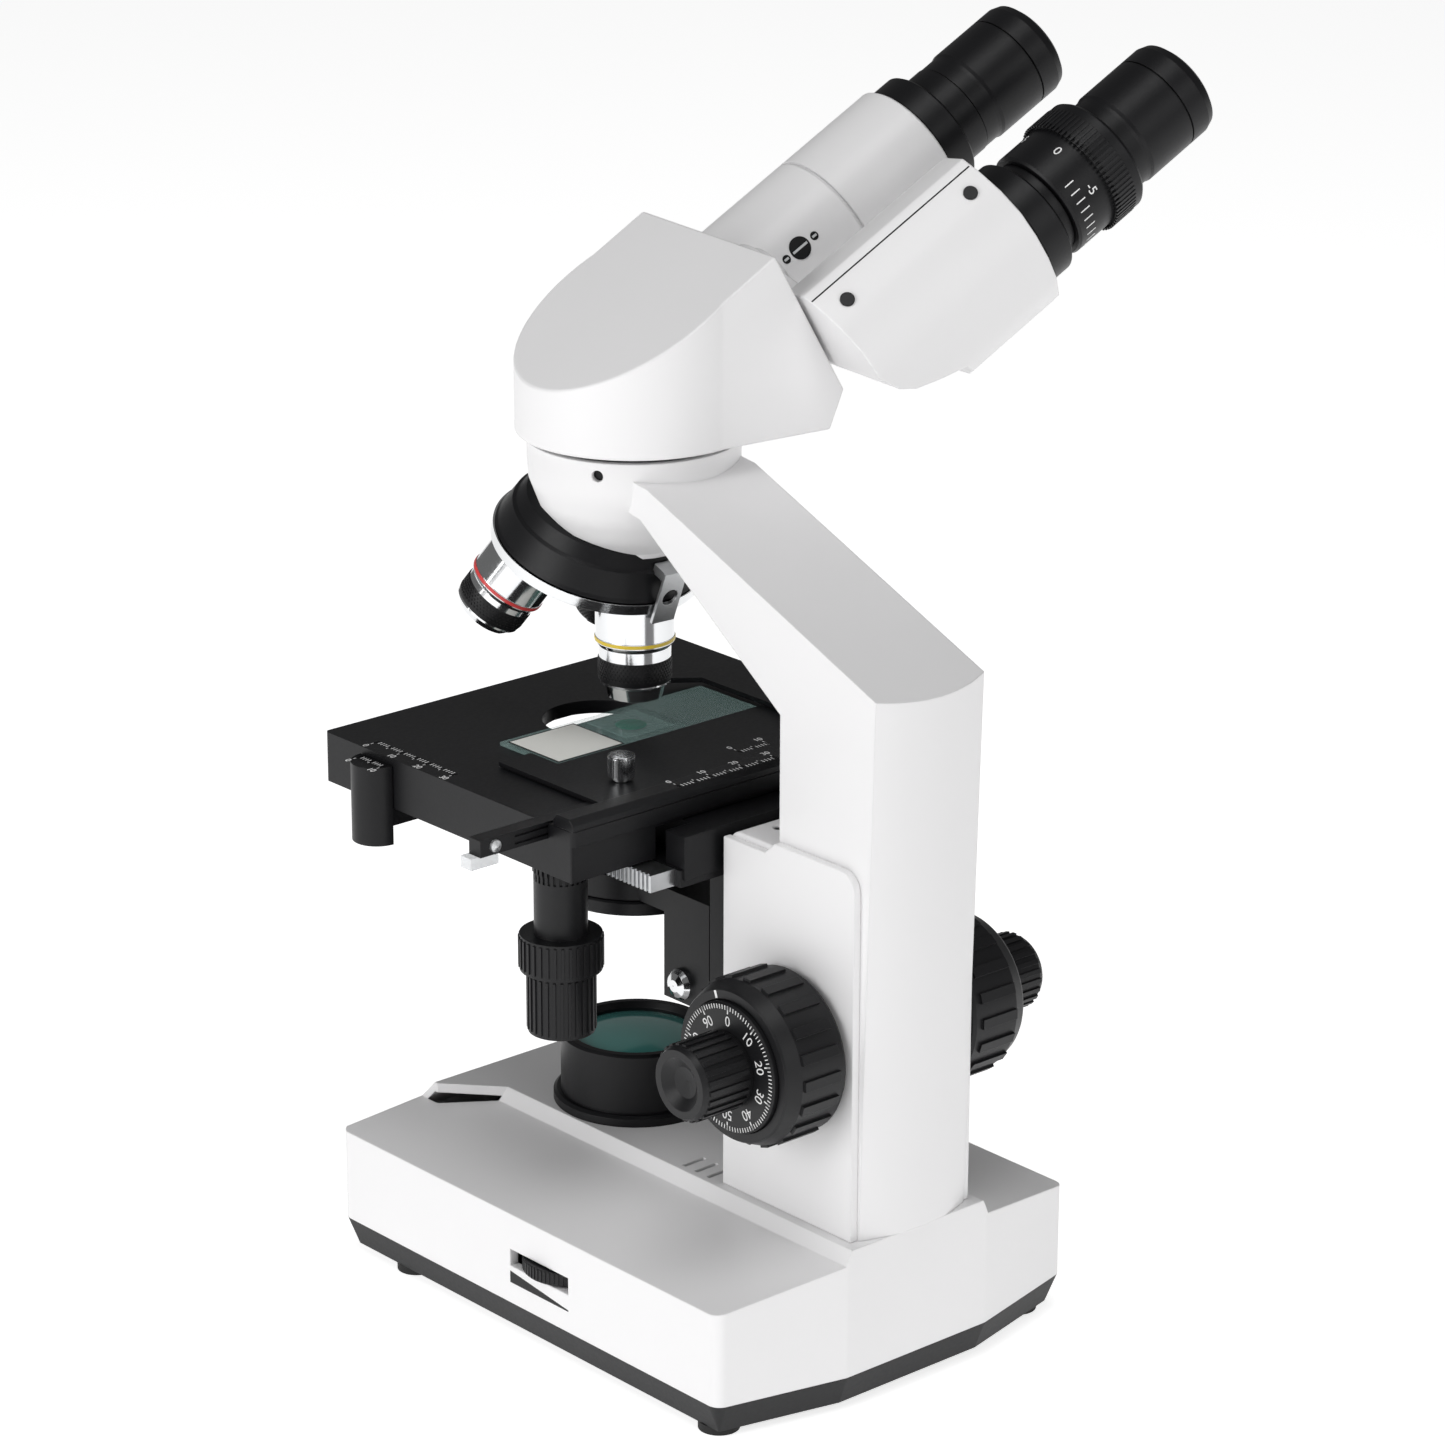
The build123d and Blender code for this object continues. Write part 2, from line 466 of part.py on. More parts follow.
# ---- condenser -----------------------------------------------------------------------------
def condenser_bracket():
    """Arm from the focus slide to the condenser, with a split ring at its end."""
    w = BRACKET_HALF_X
    z0, z1 = COND_FLANGE_Z + GAP, BRACKET_TOP_Z
    body = block(-w, w, COLUMN_FRONT_Y, -30.0, 95.0, z1)
    body += block(-w, w, -31.0, -14.0, z0, z1)
    body += disc(COND_R - 0.8, z0, z1)
    return body - disc(COND_STEM_R + FIT, 90, 140)


def condenser_body():
    """Drum with a wide ring below and a stem that slides in the bracket."""
    wide, stem = COND_R, COND_STEM_R
    return turned([(COND_LENS_R, COND_BOTTOM_Z), (wide - 0.6, COND_BOTTOM_Z), (wide, COND_BOTTOM_Z + 0.6),
                   (wide, COND_FLANGE_Z - 0.6), (wide - 0.6, COND_FLANGE_Z), (stem, COND_FLANGE_Z),
                   (stem, COND_TOP_Z - 1.5), (stem - 1.5, COND_TOP_Z), (COND_LENS_R, COND_TOP_Z)])


def condenser_lens():
    drum = disc(COND_LENS_R, COND_TOP_Z - 7, COND_TOP_Z + 0.6)
    return drum & (Pos(0, 0, COND_TOP_Z + 0.6 - 60) * Sphere(60))


def iris_lever():
    """Ring on top of the condenser with a serrated grip on a flat lever."""
    z0 = COND_TOP_Z + GAP
    z1 = z0 + IRIS_T
    ring = tube(IRIS_RING_R, IRIS_BORE_R, z0, z1)
    lever = block(IRIS_RING_R - 1, IRIS_GRIP_X + 1, -IRIS_ARM_HALF_W, IRIS_ARM_HALF_W, z0, z1)
    grip = block(IRIS_GRIP_X, IRIS_REACH, -IRIS_GRIP_HALF_W, IRIS_GRIP_HALF_W, z0, z1)
    starts = [IRIS_GRIP_X + 1 + RACK_PITCH * i for i in range(9)]
    notches = [block(x, x + RACK_PITCH / 2, IRIS_GRIP_HALF_W - 0.6, IRIS_GRIP_HALF_W + 1, z0 - 1, z1 + 1)
               for x in starts]
    return Rot(0, 0, IRIS_ANGLE) * (ring + lever + grip - notches)


def bracket_screw():
    """Domed clamp screw on the left of the bracket."""
    side = Plane(origin=(-BRACKET_HALF_X, -38.0, 101.0), x_dir=(0, 1, 0), z_dir=(-1, 0, 0))
    return turned([(0, -4), (2.0, -4), (2.0, 0), (4.6, 0), (4.6, 1.2), (3.6, 2.6), (1.8, 3.4),
                   (0, 3.6)], side)


# ---- stage ---------------------------------------------------------------------------------
def stage_base():
    """Fixed lower stage: slab, guide rails, rear carrier block and the arm to the vernier boss."""
    slab = block(-36.0, 29.0, COLUMN_FRONT_Y - 12.0, 41.5, SLAB_BOTTOM_Z, SLAB_TOP_Z)
    slab += block(-STAGE_HALF_X - GAP, -30.0, BOSS_Y - 6.0, 41.5, SLAB_BOTTOM_Z, SLAB_TOP_Z)
    rails = block(-RAIL_HALF_X, RAIL_HALF_X - 2, CARRIER_REAR_Y + 2, 30.0, SLAB_TOP_Z, RAIL_TOP_Z)
    carrier = block(-CARRIER_HALF_X, CARRIER_HALF_X, CARRIER_REAR_Y, -54.0, SLAB_BOTTOM_Z + 2, RAIL_TOP_Z)
    edge = -STAGE_HALF_X - GAP
    post = disc(BOSS_R, SLAB_BOTTOM_Z - 5.0, STAGE_TOP_Z - 2.2, edge, BOSS_Y)
    post -= block(edge, 0, BOSS_Y - 20, BOSS_Y + 20, 0, 200)
    return slab + rails + carrier + post - disc(COND_STEM_R + 4.0, 0, 200)


def y_rack():
    """Toothed strip on the lower stage that the upper knob's pinion runs along."""
    x0 = XY_X + Y_PINION_R + GAP
    strip = block(x0, -36.0, -59.0, 5.0, SLAB_BOTTOM_Z, SLAB_TOP_Z)
    gaps = [block(x0 - 1, x0 + 0.8, y, y + RACK_PITCH / 2, SLAB_BOTTOM_Z - 1, SLAB_TOP_Z + 1)
            for y in [-58.0 + RACK_PITCH * i for i in range(34)]]
    return strip - gaps


def stage_outline(inset=0.0):
    """Plan of the stage: the right rear corner is cut away diagonally."""
    w, f, r = STAGE_HALF_X - inset, STAGE_FRONT_Y - inset, STAGE_REAR_Y + inset
    return [(-w, f), (w, f), (w, STAGE_CUT_Y), (w - STAGE_CUT_X, r), (-w, r)]


def stage_plate():
    """Cast tray: flat top with the aperture, skirts all round, slot for the X bar."""
    w, r = STAGE_HALF_X, STAGE_REAR_Y
    body = plate(stage_outline(), SKIRT_Z, STAGE_TOP_Z, rounding=1.5)
    body -= plate(stage_outline(SKIRT_WALL), SKIRT_Z - 1, STAGE_TOP_Z - STAGE_SKIN)
    bar_floor = block(-w + 1, w - STAGE_CUT_X, BAR_Y0 - 3, BAR_Y1 + 3, BAR_Z0 - 1.4, STAGE_TOP_Z - 1)
    body += bar_floor
    body -= block(-w - 1, w, BAR_Y0 - FIT, BAR_Y1 + FIT, BAR_Z0 - FIT, STAGE_TOP_Z + 1)
    body -= block(-CARRIER_HALF_X - 1, w, r - 1, r + 12, SKIRT_Z - 1, RAIL_TOP_Z + GAP)
    body -= block(-w - 1, w, r - 1, r + 0.8, SKIRT_Z - 1, 158.5)
    opening = disc(APERTURE_R, 0, 200, 0, APERTURE_REAR_Y) + disc(APERTURE_R, 0, 200, 0, APERTURE_FRONT_Y)
    opening += block(-APERTURE_R, APERTURE_R, APERTURE_REAR_Y, APERTURE_FRONT_Y, 0, 200)
    body -= opening
    body += disc(XY_TUBE_R + 2.0, SKIRT_Z, STAGE_TOP_Z - 3, XY_X, XY_Y)
    body -= disc(X_SHAFT_R + FIT, 0, BAR_Z0 + 1, XY_X, XY_Y)
    body -= disc(X_PINION_R + GAP, BAR_Z0 - FIT, STAGE_TOP_Z - 1, XY_X, XY_Y)
    return body - block(-w - 1, w, BAR_Y0 - FIT, BAR_Y1 + FIT, BAR_Z0 - FIT, STAGE_TOP_Z + 1)


def x_guide():
    """Raised guide along the rear of the stage, with bevelled edges, which carries the X scale."""
    y0, y1 = STAGE_REAR_Y, BAR_Y0 - 2.0
    z, top = STAGE_TOP_Z, 166.5
    profile = [(y0, z), (y0, top - 1.6), (y0 + 1.6, top), (y1 - 1.5, top), (y1, top - 1.5), (y1, z)]
    wire = Polyline(*[(0, y, h) for y, h in profile], close=True)
    length = 2 * STAGE_HALF_X - STAGE_CUT_X - 1
    return Pos(-STAGE_HALF_X, 0, 0) * extrude(make_face(wire), length, dir=(1, 0, 0))


def y_knob():
    """Upper knob with its sleeve and pinion."""
    bore = X_SHAFT_R + FIT
    x, y = XY_X, XY_Y
    body = tube(XY_TUBE_R, bore, Y_KNOB_TOP_Z, Y_PINION_Z, x, y)
    body += tube(Y_KNOB_R, bore, Y_KNOB_Z, Y_KNOB_TOP_Z, x, y)
    body += tube(Y_PINION_R, bore, Y_PINION_Z, SKIRT_Z - GAP, x, y)
    height = SKIRT_Z - GAP - Y_PINION_Z
    tooth_gap = block(Y_PINION_R - 0.8, Y_PINION_R + 1, -0.4, 0.4, -height, height)
    return body - [Pos(x, y, Y_PINION_Z + height / 2) * gap for gap in ring_of(tooth_gap, 28)]


def x_knob():
    """Lower knob, its shaft through the upper one, and the pinion that moves the X bar."""
    x, y = XY_X, XY_Y
    body = disc(X_KNOB_R, X_KNOB_Z, Y_KNOB_Z - GAP, x, y)
    body += disc(X_SHAFT_R, Y_KNOB_Z - GAP, BAR_Z0 + 0.3, x, y)
    return body + disc(X_PINION_R, BAR_Z0 + 0.2, STAGE_TOP_Z - 1.3, x, y)


def x_bar():
    """Sliding bar with two grooves along its near face."""
    body = block(BAR_X0, BAR_X1, BAR_Y0, BAR_Y1, BAR_Z0, BAR_TOP_Z)
    for z in (BAR_Z0 + 1.0, BAR_Z0 + 3.2):
        body -= block(BAR_X0 + 12.0, BAR_X1 + 1, BAR_Y0 - 1, BAR_Y0 + 0.6, z, z + 0.8)
    return body


def bar_end():
    """Clear stop under the bar's left end."""
    return block(BAR_X0 - 2.5, BAR_X0 + 7.0, BAR_Y0 + 1.0, BAR_Y1 + 0.6, BAR_Z0 - 3.4, BAR_Z0)


def bar_screw():
    side = Plane(origin=(BAR_X0 + 5.0, BAR_Y0, BAR_Z0 + 2.5), x_dir=(1, 0, 0), z_dir=(0, -1, 0))
    return turned([(0, -2.0), (0.9, -2.0), (0.9, 0), (1.9, 0), (1.7, 0.8), (0, 1.2)], side)


def holder_plate():
    """Flat plate on the bar, open at the front for the slide, with the left jaw."""
    z0 = STAGE_TOP_Z + GAP
    rear_edge = SLIDE_Y - SLIDE_W / 2 - 0.1
    left_edge = SLIDE_X - SLIDE_L / 2 - 0.1
    outline = [(HOLDER_X0, HOLDER_Y0), (HOLDER_X1, HOLDER_Y0), (HOLDER_X1, rear_edge), (left_edge, rear_edge),
               (left_edge, 3.0), (HOLDER_X0, 3.0)]
    body = plate(outline, z0, HOLDER_TOP_Z)
    body -= block(BAR_X0, BAR_X1, BAR_Y0, BAR_Y1, z0 - 1, BAR_TOP_Z)
    body -= disc(CLIP_PIN_R + FIT, 0, 200, CLIP_X, CLIP_Y)
    return body - disc(THUMB_STEM_R + FIT, 0, 200, THUMB_X, THUMB_Y)


def clip_lever():
    """Sprung finger that hooks round the right end of the slide."""
    z0, z1 = HOLDER_TOP_Z + GAP, HOLDER_TOP_Z + 1.8
    right = SLIDE_X + SLIDE_L / 2 + 0.6
    front = SLIDE_Y + SLIDE_W / 2
    outline = [(CLIP_X - 2.8, CLIP_Y - 3.5), (CLIP_X + 3.5, CLIP_Y - 3.5), (CLIP_X + 4.0, front + 4.0),
               (right - 6.0, front + 9.5), (right - 9.0, front + 9.5), (right - 9.0, front + 7.0),
               (right, front), (right, CLIP_Y + 6.0)]
    return plate(outline, z0, z1) + disc(CLIP_PIN_R, STAGE_TOP_Z + GAP, z1 + 1.2, CLIP_X, CLIP_Y)


def thumb_screw():
    z = HOLDER_TOP_Z
    head = disc(THUMB_R, z + 1.0, z + 7.6, THUMB_X, THUMB_Y) + disc(2.8, z + GAP, z + 1.0, THUMB_X, THUMB_Y)
    return head + disc(THUMB_STEM_R, STAGE_TOP_Z + GAP, z + 1.0, THUMB_X, THUMB_Y)


def glass_slide():
    x0, y0 = SLIDE_X - SLIDE_L / 2, SLIDE_Y - SLIDE_W / 2
    return block(x0, x0 + SLIDE_L, y0, y0 + SLIDE_W, STAGE_TOP_Z + 0.05, STAGE_TOP_Z + SLIDE_T)


def cover_glass():
    z = STAGE_TOP_Z + SLIDE_T
    return block(SLIDE_X - 9, SLIDE_X + 9, SLIDE_Y - 9, SLIDE_Y + 9, z, z + 0.17)


# ---- nosepiece -----------------------------------------------------------------------------
def nosepiece_body():
    """Fixed dome round the foot of the neck, with the turret's pivot."""
    face = TURRET_RIM_T - GAP
    dome = turned(DOME + [(TURRET_R - 1.2, face - 1.0), (TURRET_R - 0.6, face), (0, face)], TURRET)
    dome = dome - ARM - disc(9.0, 190, 260)
    pivot = turned([(0, face - 1), (PIVOT_R, face - 1), (PIVOT_R, 47.0), (0, 47.0)], TURRET)
    return dome + (pivot - ARM)


NOSEPIECE = nosepiece_body()


def turret():
    """Rotating disc with three tilted objective seats."""
    body = turned([(PIVOT_R + FIT, TURRET_RIM_T), (TURRET_R, TURRET_RIM_T), (TURRET_R, TURRET_BOTTOM_T),
                   (TURRET_R - 2.5, TURRET_BOTTOM_T + 0.6), (8.0, TURRET_BOTTOM_T + 1.6),
                   (PIVOT_R + FIT, TURRET_BOTTOM_T + 1.6)], TURRET)
    for angle in OBJECTIVE_ANGLES.values():
        seat = objective_plane(angle)
        body += seat * (Pos(0, 0, (40.0 + SHOULDER_T) / 2) * Cylinder(OBJ_R, SHOULDER_T - 40.0))
        body -= seat * (Pos(0, 0, 45.0) * Cylinder(THREAD_R, 30.0))
        body -= seat * (Pos(0, 0, SHOULDER_T + 10.0) * Cylinder(OBJ_R + FIT, 20.0))
    bore, rim = PIVOT_R + FIT, TURRET_RIM_T
    clear = turned([(bore, 30.0), (60.0, 30.0), (60.0, rim), (bore, rim)], TURRET)
    core = turned([(0, 30.0), (bore, 30.0), (bore, 60.0), (0, 60.0)], TURRET)
    return body - clear - core


def index_spring():
    """Click-stop spring plate at the arm side of the nosepiece, on a foot that meets the dome."""
    seat = TURRET * Rot(0, 0, SPRING_ANGLE)
    leaf = seat * Pos(TURRET_R + GAP + SPRING_T / 2 + 0.2, 0, TURRET_RIM_T - 2.9)
    spring = Box(SPRING_T, SPRING_W, SPRING_L) - Rot(0, 90, 0) * Cylinder(SPRING_HOLE_R, 4)
    foot = Pos(-SPRING_FOOT_REACH / 2, 0, -SPRING_FOOT_DROP)
    foot *= Box(SPRING_FOOT_REACH, SPRING_FOOT_W, SPRING_FOOT_H)
    return leaf * (spring + foot) - NOSEPIECE


def objective(name):
    """Objective barrels differ in length and in their lower steps."""
    low, tip, cone = OBJECTIVE_SIZES[name]
    ring, grip_end, bore = OBJ_RING_T, low - cone, tip - 2.0
    body = turned([(bore, THREAD_T), (THREAD_R - FIT, THREAD_T), (THREAD_R - FIT, SHOULDER_T),
                   (OBJ_R, SHOULDER_T), (OBJ_R, ring + 1.6), (10.4, ring + 2.9),
                   (10.4, grip_end), (tip + 0.9, grip_end + 0.8),
                   (tip, low), (bore, low)], objective_plane(OBJECTIVE_ANGLES[name]))
    band = tube(OBJ_R + 0.1, OBJ_R - 1, ring, ring + 1.5)
    return body + objective_plane(OBJECTIVE_ANGLES[name]) * band


# ---- head ----------------------------------------------------------------------------------
def head_profile(inset=0.0):
    """Side view of the head: flat base, exit face square to the tubes, sloping top."""
    slope = 0.6
    face_h = FACE_TOP_H - inset * 0.5
    top_z = FACE_TOP_Z - inset * 1.4
    rear_z = top_z - slope * (face_h + HEAD_R + 1)
    low_h, low_z = 49.4 - inset, 265.1 + inset * 0.2
    return [(-HEAD_R - 1, HEAD_BOTTOM_Z + inset), (44.7 - inset, HEAD_BOTTOM_Z + inset), (low_h, low_z),
            (face_h, top_z), (-HEAD_R - 1, rear_z)]


def head_plan(radius, half_width, z0, z1):
    """U-shaped plan: round at the back, straight sides to the exit face."""
    body = disc(radius, z0, z1) + block(0, 70, -half_width, half_width, z0, z1)
    return HEAD_PLAN * body


def head_section(inset=0.0):
    wire = Polyline(*[(x, z, 0) for x, z in head_profile(inset)], close=True)
    return extrude(HEAD_SECTION * make_face(wire), 60, both=True)


def head_housing():
    """Hollow casting of the head."""
    body = head_section() & head_plan(HEAD_R, HEAD_HALF_W, 250, 310)
    hollow = head_section(3.0) & head_plan(HEAD_R - 3, HEAD_HALF_W - 3, 250, 310)
    body -= hollow
    body -= disc(14.0, 240, 260)
    return body - HINGE * Cylinder(HINGE_TUBE_R, 30)


def dovetail_ring():
    """Ring under the head that turns in the neck."""
    return turned([(13.0, SOCKET_FLOOR_Z + GAP), (SOCKET_R - FIT, SOCKET_FLOOR_Z + GAP),
                   (SOCKET_R - FIT, NECK_TOP_Z + GAP),
                   (28.6, NECK_TOP_Z + GAP), (28.6, HEAD_BOTTOM_Z), (13.0, HEAD_BOTTOM_Z)])


def hinge_tube():
    """Hollow pin that both tube housings swing on."""
    pin = Pos(0, 0, 4.0) * Cylinder(HINGE_TUBE_R, 16.0) + Pos(0, 0, 11.2) * Cylinder(HINGE_R, 1.6)
    return HINGE * (pin - Cylinder(HINGE_TUBE_R - 1.5, 60))


def lug(x_side, z0, z1, low, high):
    """Flat eye round the hinge pin with a web towards one tube."""
    eye = disc(LUG_R, z0, z1)
    side = x_side * TUBE_DX
    web = plate([(0, LUG_R - 1.5), (0, -LUG_R + 1.5), (side, low), (side, high)], z0, z1)
    return HINGE * (eye + web - disc(HINGE_TUBE_R + FIT, z0 - 1, z1 + 1))


def right_tube_housing():
    """Round housing of the right eyepiece, with a seam ring at mid-length."""
    r, seam = RIGHT_TUBE_R, RIGHT_SEAM
    wall = 3.0
    z = TUBE_START
    body = turned([(0, z), (r - 1, z), (r, z + 1), (r, seam - 0.5), (r - 0.8, seam - 0.5),
                   (r - 0.8, seam + 0.5), (r, seam + 0.5), (r, RIGHT_TUBE_END - 0.6),
                   (r - 0.6, RIGHT_TUBE_END), (14.0, RIGHT_TUBE_END), (14.0, z + wall), (0, z + wall)])
    return RIGHT_AXIS * body + lug(1, z, z + LUG_T, -31.0, -7.0) - HINGE * Cylinder(HINGE_TUBE_R + FIT, 14)


def left_tube_housing():
    """Prism housing of the left eyepiece: a full, rounded box that narrows towards the head."""
    body = plate([(x, y) for x, y in LEFT_SECTION], TUBE_START, LEFT_TUBE_END)
    first, last = LEFT_BELLY[0], LEFT_BELLY[-1]
    outline = [(-70, -10), (first[0], -10)] + LEFT_BELLY + [(-70, last[1])]
    belly = Polyline(*[(0, y, z) for y, z in outline], close=True)
    body -= Pos(-80, 0, 0) * extrude(make_face(belly), 80, dir=(1, 0, 0))
    body = HINGE * body
    body -= LEFT_AXIS * (Pos(0, 0, 43.0) * Cylinder(13.6, 50.0))
    body += lug(-1, TUBE_START + LUG_T + GAP, TUBE_START + 2 * LUG_T + GAP, -20.0, -4.0)
    return body - HINGE * (Pos(0, 0, 7.5) * Cylinder(HINGE_TUBE_R + FIT, 10))


def collar(axis, z0, neck_l):
    """Black eyetube collar with a narrower neck, which the eyepiece or diopter ring sits on."""
    bore, top, neck = EYE_SLEEVE_R + FIT, z0 + COLLAR_L, EYETUBE_NECK_R
    body = turned([(bore, z0 - 20), (EYETUBE_R, z0 - 20), (EYETUBE_R, z0), (COLLAR_R - 0.6, z0),
                   (COLLAR_R, z0 + 0.8), (COLLAR_R, top - 0.8), (COLLAR_R - 0.8, top), (neck, top + 0.8),
                   (neck, z0 + neck_l), (bore, z0 + neck_l)])
    return axis * body


def eyepiece(axis, start):
    """Eyepiece: sleeve in the tube, barrel, groove and soft-edged eyecup."""
    r, end = EYEPIECE_R, EYEPIECE_END
    outer = [(9.5, start), (14.8, start), (14.8, start + 5.0), (r - 0.4, start + 6.0), (r, start + 7.0),
             (r, end - 10.4), (r - 0.6, end - 10.4), (r - 0.6, end - 9.8), (r, end - 9.8), (r, end - 3.6),
             (r - 0.8, end - 1.2), (r - 2.6, end), (10.8, end), (9.5, end - 5.0), (0, end - 5.0),
             (0, end - 7.0), (9.5, end - 7.0)]
    body = axis * turned(outer)
    sleeve = axis * tube(EYE_SLEEVE_R, 9.5, start - 26.0, start)
    return body + sleeve


def diopter_ring():
    """Turning ring of the left eyetube: scale barrel and knurled rim."""
    z = DIOPTER_Z0
    r, knurl, bore = DIOPTER_R, DIOPTER_KNURL_R, EYE_SLEEVE_R + FIT
    seam, end = z + DIOPTER_SCALE_L, z + DIOPTER_L
    body = turned([(bore, z), (r - 0.6, z), (r, z + 0.8), (r, seam - 0.6), (knurl - 0.4, seam),
                   (knurl, seam + 0.7), (knurl, end - 1.0), (knurl - 0.8, end), (bore, end)])
    return LEFT_AXIS * body


def tube_screws():
    """Slotted pivot screw and two set screws in the right housing."""
    angle = 180 - 27
    solids = []
    for z, radius in ((31.0, 3.4), (25.5, 1.3), (36.8, 1.3)):
        seat = RIGHT_AXIS * (Rot(0, 0, angle) * Pos(RIGHT_TUBE_R - 0.9, 0, z) * Rot(0, 90, 0))
        solids.append(seat * Cylinder(radius, 2.0))
    return group(solids)


def cover_screws():
    """Two cross-head screws of the left prism cover."""
    solids = []
    for z in COVER_SCREW_Z:
        seat = LEFT_AXIS * Pos(COVER_SCREW_X, COVER_SCREW_Y, z) * Rot(0, 0, COVER_SLOPE) * Rot(90, 0, 0)
        solids.append(seat * Cylinder(COVER_SCREW_R, COVER_SCREW_H))
    return group(solids)


# ---- nodes ---------------------------------------------------------------------------------
NODES = {
    "base_shell": base_shell(), "base_plate": base_plate(), "base_feet": feet(),
    "stand_screws": stand_screws(),
    "brightness_wheel": brightness_wheel(), "dimmer_body": dimmer_body(), "power_inlet": power_inlet(),
    "lamp_housing": lamp_housing(), "field_lens": field_lens(), "led_module": led_module(),
    "arm": ARM, "focus_housing": focus_housing(),
    "left_side_cover": side_cover(-1), "right_side_cover": side_cover(1),
    "coarse_knob_left": coarse_knob(-1), "coarse_knob_right": coarse_knob(1), "coarse_shaft": coarse_shaft(),
    "fine_shaft": fine_shaft(), "graduated_dial": graduated_dial(),
    "fine_knob_left": fine_knob(-1), "fine_knob_right": fine_knob(1),
    "focus_column": focus_column(), "focus_rack": focus_rack(),
    "condenser_bracket": condenser_bracket(), "bracket_screw": bracket_screw(),
    "condenser_body": condenser_body(), "condenser_lens": condenser_lens(), "iris_lever": iris_lever(),
    "stage_base": stage_base(), "y_rack": y_rack(),
    "stage_plate": stage_plate(), "x_guide": x_guide(), "y_knob": y_knob(), "x_knob": x_knob(),
    "x_bar": x_bar(), "bar_end": bar_end(), "bar_screw": bar_screw(), "holder_plate": holder_plate(),
    "clip_lever": clip_lever(), "thumb_screw": thumb_screw(), "glass_slide": glass_slide(),
    "cover_glass": cover_glass(),
    "nosepiece_body": NOSEPIECE, "turret": turret(), "index_spring": index_spring(),
    "objective_10x": objective("objective_10x"), "objective_4x": objective("objective_4x"),
    "objective_40x": objective("objective_40x"),
    "head_housing": head_housing(), "dovetail_ring": dovetail_ring(), "hinge_tube": hinge_tube(),
    "right_tube_housing": right_tube_housing(),
    "right_collar": collar(RIGHT_AXIS, RIGHT_TUBE_END, RIGHT_NECK_L),
    "right_eyepiece": eyepiece(RIGHT_AXIS, EYEPIECE_START),
    "tube_screws": tube_screws(), "cover_screws": cover_screws(),
    "left_tube_housing": left_tube_housing(), "left_collar": collar(LEFT_AXIS, LEFT_TUBE_END, LEFT_NECK_L),
    "diopter_ring": diopter_ring(), "left_eyepiece": eyepiece(LEFT_AXIS, EYEPIECE_START),
}

for name, solid in NODES.items():
    save(solid, name)
print(len(NODES), "nodes")
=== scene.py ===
import json
import logging
import math
from dataclasses import dataclass, field
from enum import Enum
from typing import Any, Sequence

import bmesh
import bpy
from mathutils import Matrix, Vector

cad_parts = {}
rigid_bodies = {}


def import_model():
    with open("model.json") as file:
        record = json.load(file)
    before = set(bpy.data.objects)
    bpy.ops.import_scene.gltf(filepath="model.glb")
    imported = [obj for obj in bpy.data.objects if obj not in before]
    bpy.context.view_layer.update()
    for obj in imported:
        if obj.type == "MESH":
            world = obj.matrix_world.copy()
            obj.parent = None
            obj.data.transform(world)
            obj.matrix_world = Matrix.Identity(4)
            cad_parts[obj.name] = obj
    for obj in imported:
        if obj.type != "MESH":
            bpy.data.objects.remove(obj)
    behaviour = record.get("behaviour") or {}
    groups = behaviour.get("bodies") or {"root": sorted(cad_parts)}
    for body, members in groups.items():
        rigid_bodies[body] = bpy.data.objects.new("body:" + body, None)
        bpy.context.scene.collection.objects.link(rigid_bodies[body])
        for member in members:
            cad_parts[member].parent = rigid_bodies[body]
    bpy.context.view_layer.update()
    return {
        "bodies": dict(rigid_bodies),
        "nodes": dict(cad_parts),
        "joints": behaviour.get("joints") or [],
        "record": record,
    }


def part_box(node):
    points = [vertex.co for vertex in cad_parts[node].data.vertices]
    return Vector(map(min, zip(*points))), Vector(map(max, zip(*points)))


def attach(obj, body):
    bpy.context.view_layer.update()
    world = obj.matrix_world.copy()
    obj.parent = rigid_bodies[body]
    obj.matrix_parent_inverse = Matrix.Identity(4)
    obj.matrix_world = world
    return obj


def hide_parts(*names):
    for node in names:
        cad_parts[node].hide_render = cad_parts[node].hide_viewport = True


LOG = logging.getLogger("microscope")
MM = 0.001
BROAD_SCALE = 14.0
FINE_GLOSS = 0.12
BROAD_GLOSS = 0.1
RELIEF_STRENGTH = 0.6
SHARP_ANGLE = 35.0
LETTER_LIFT = 0.03


class Axis(Enum):
    """Which way a scale's numbers run."""

    ALONG_X = (1, 0, 0)
    ALONG_Y = (0, 1, 0)


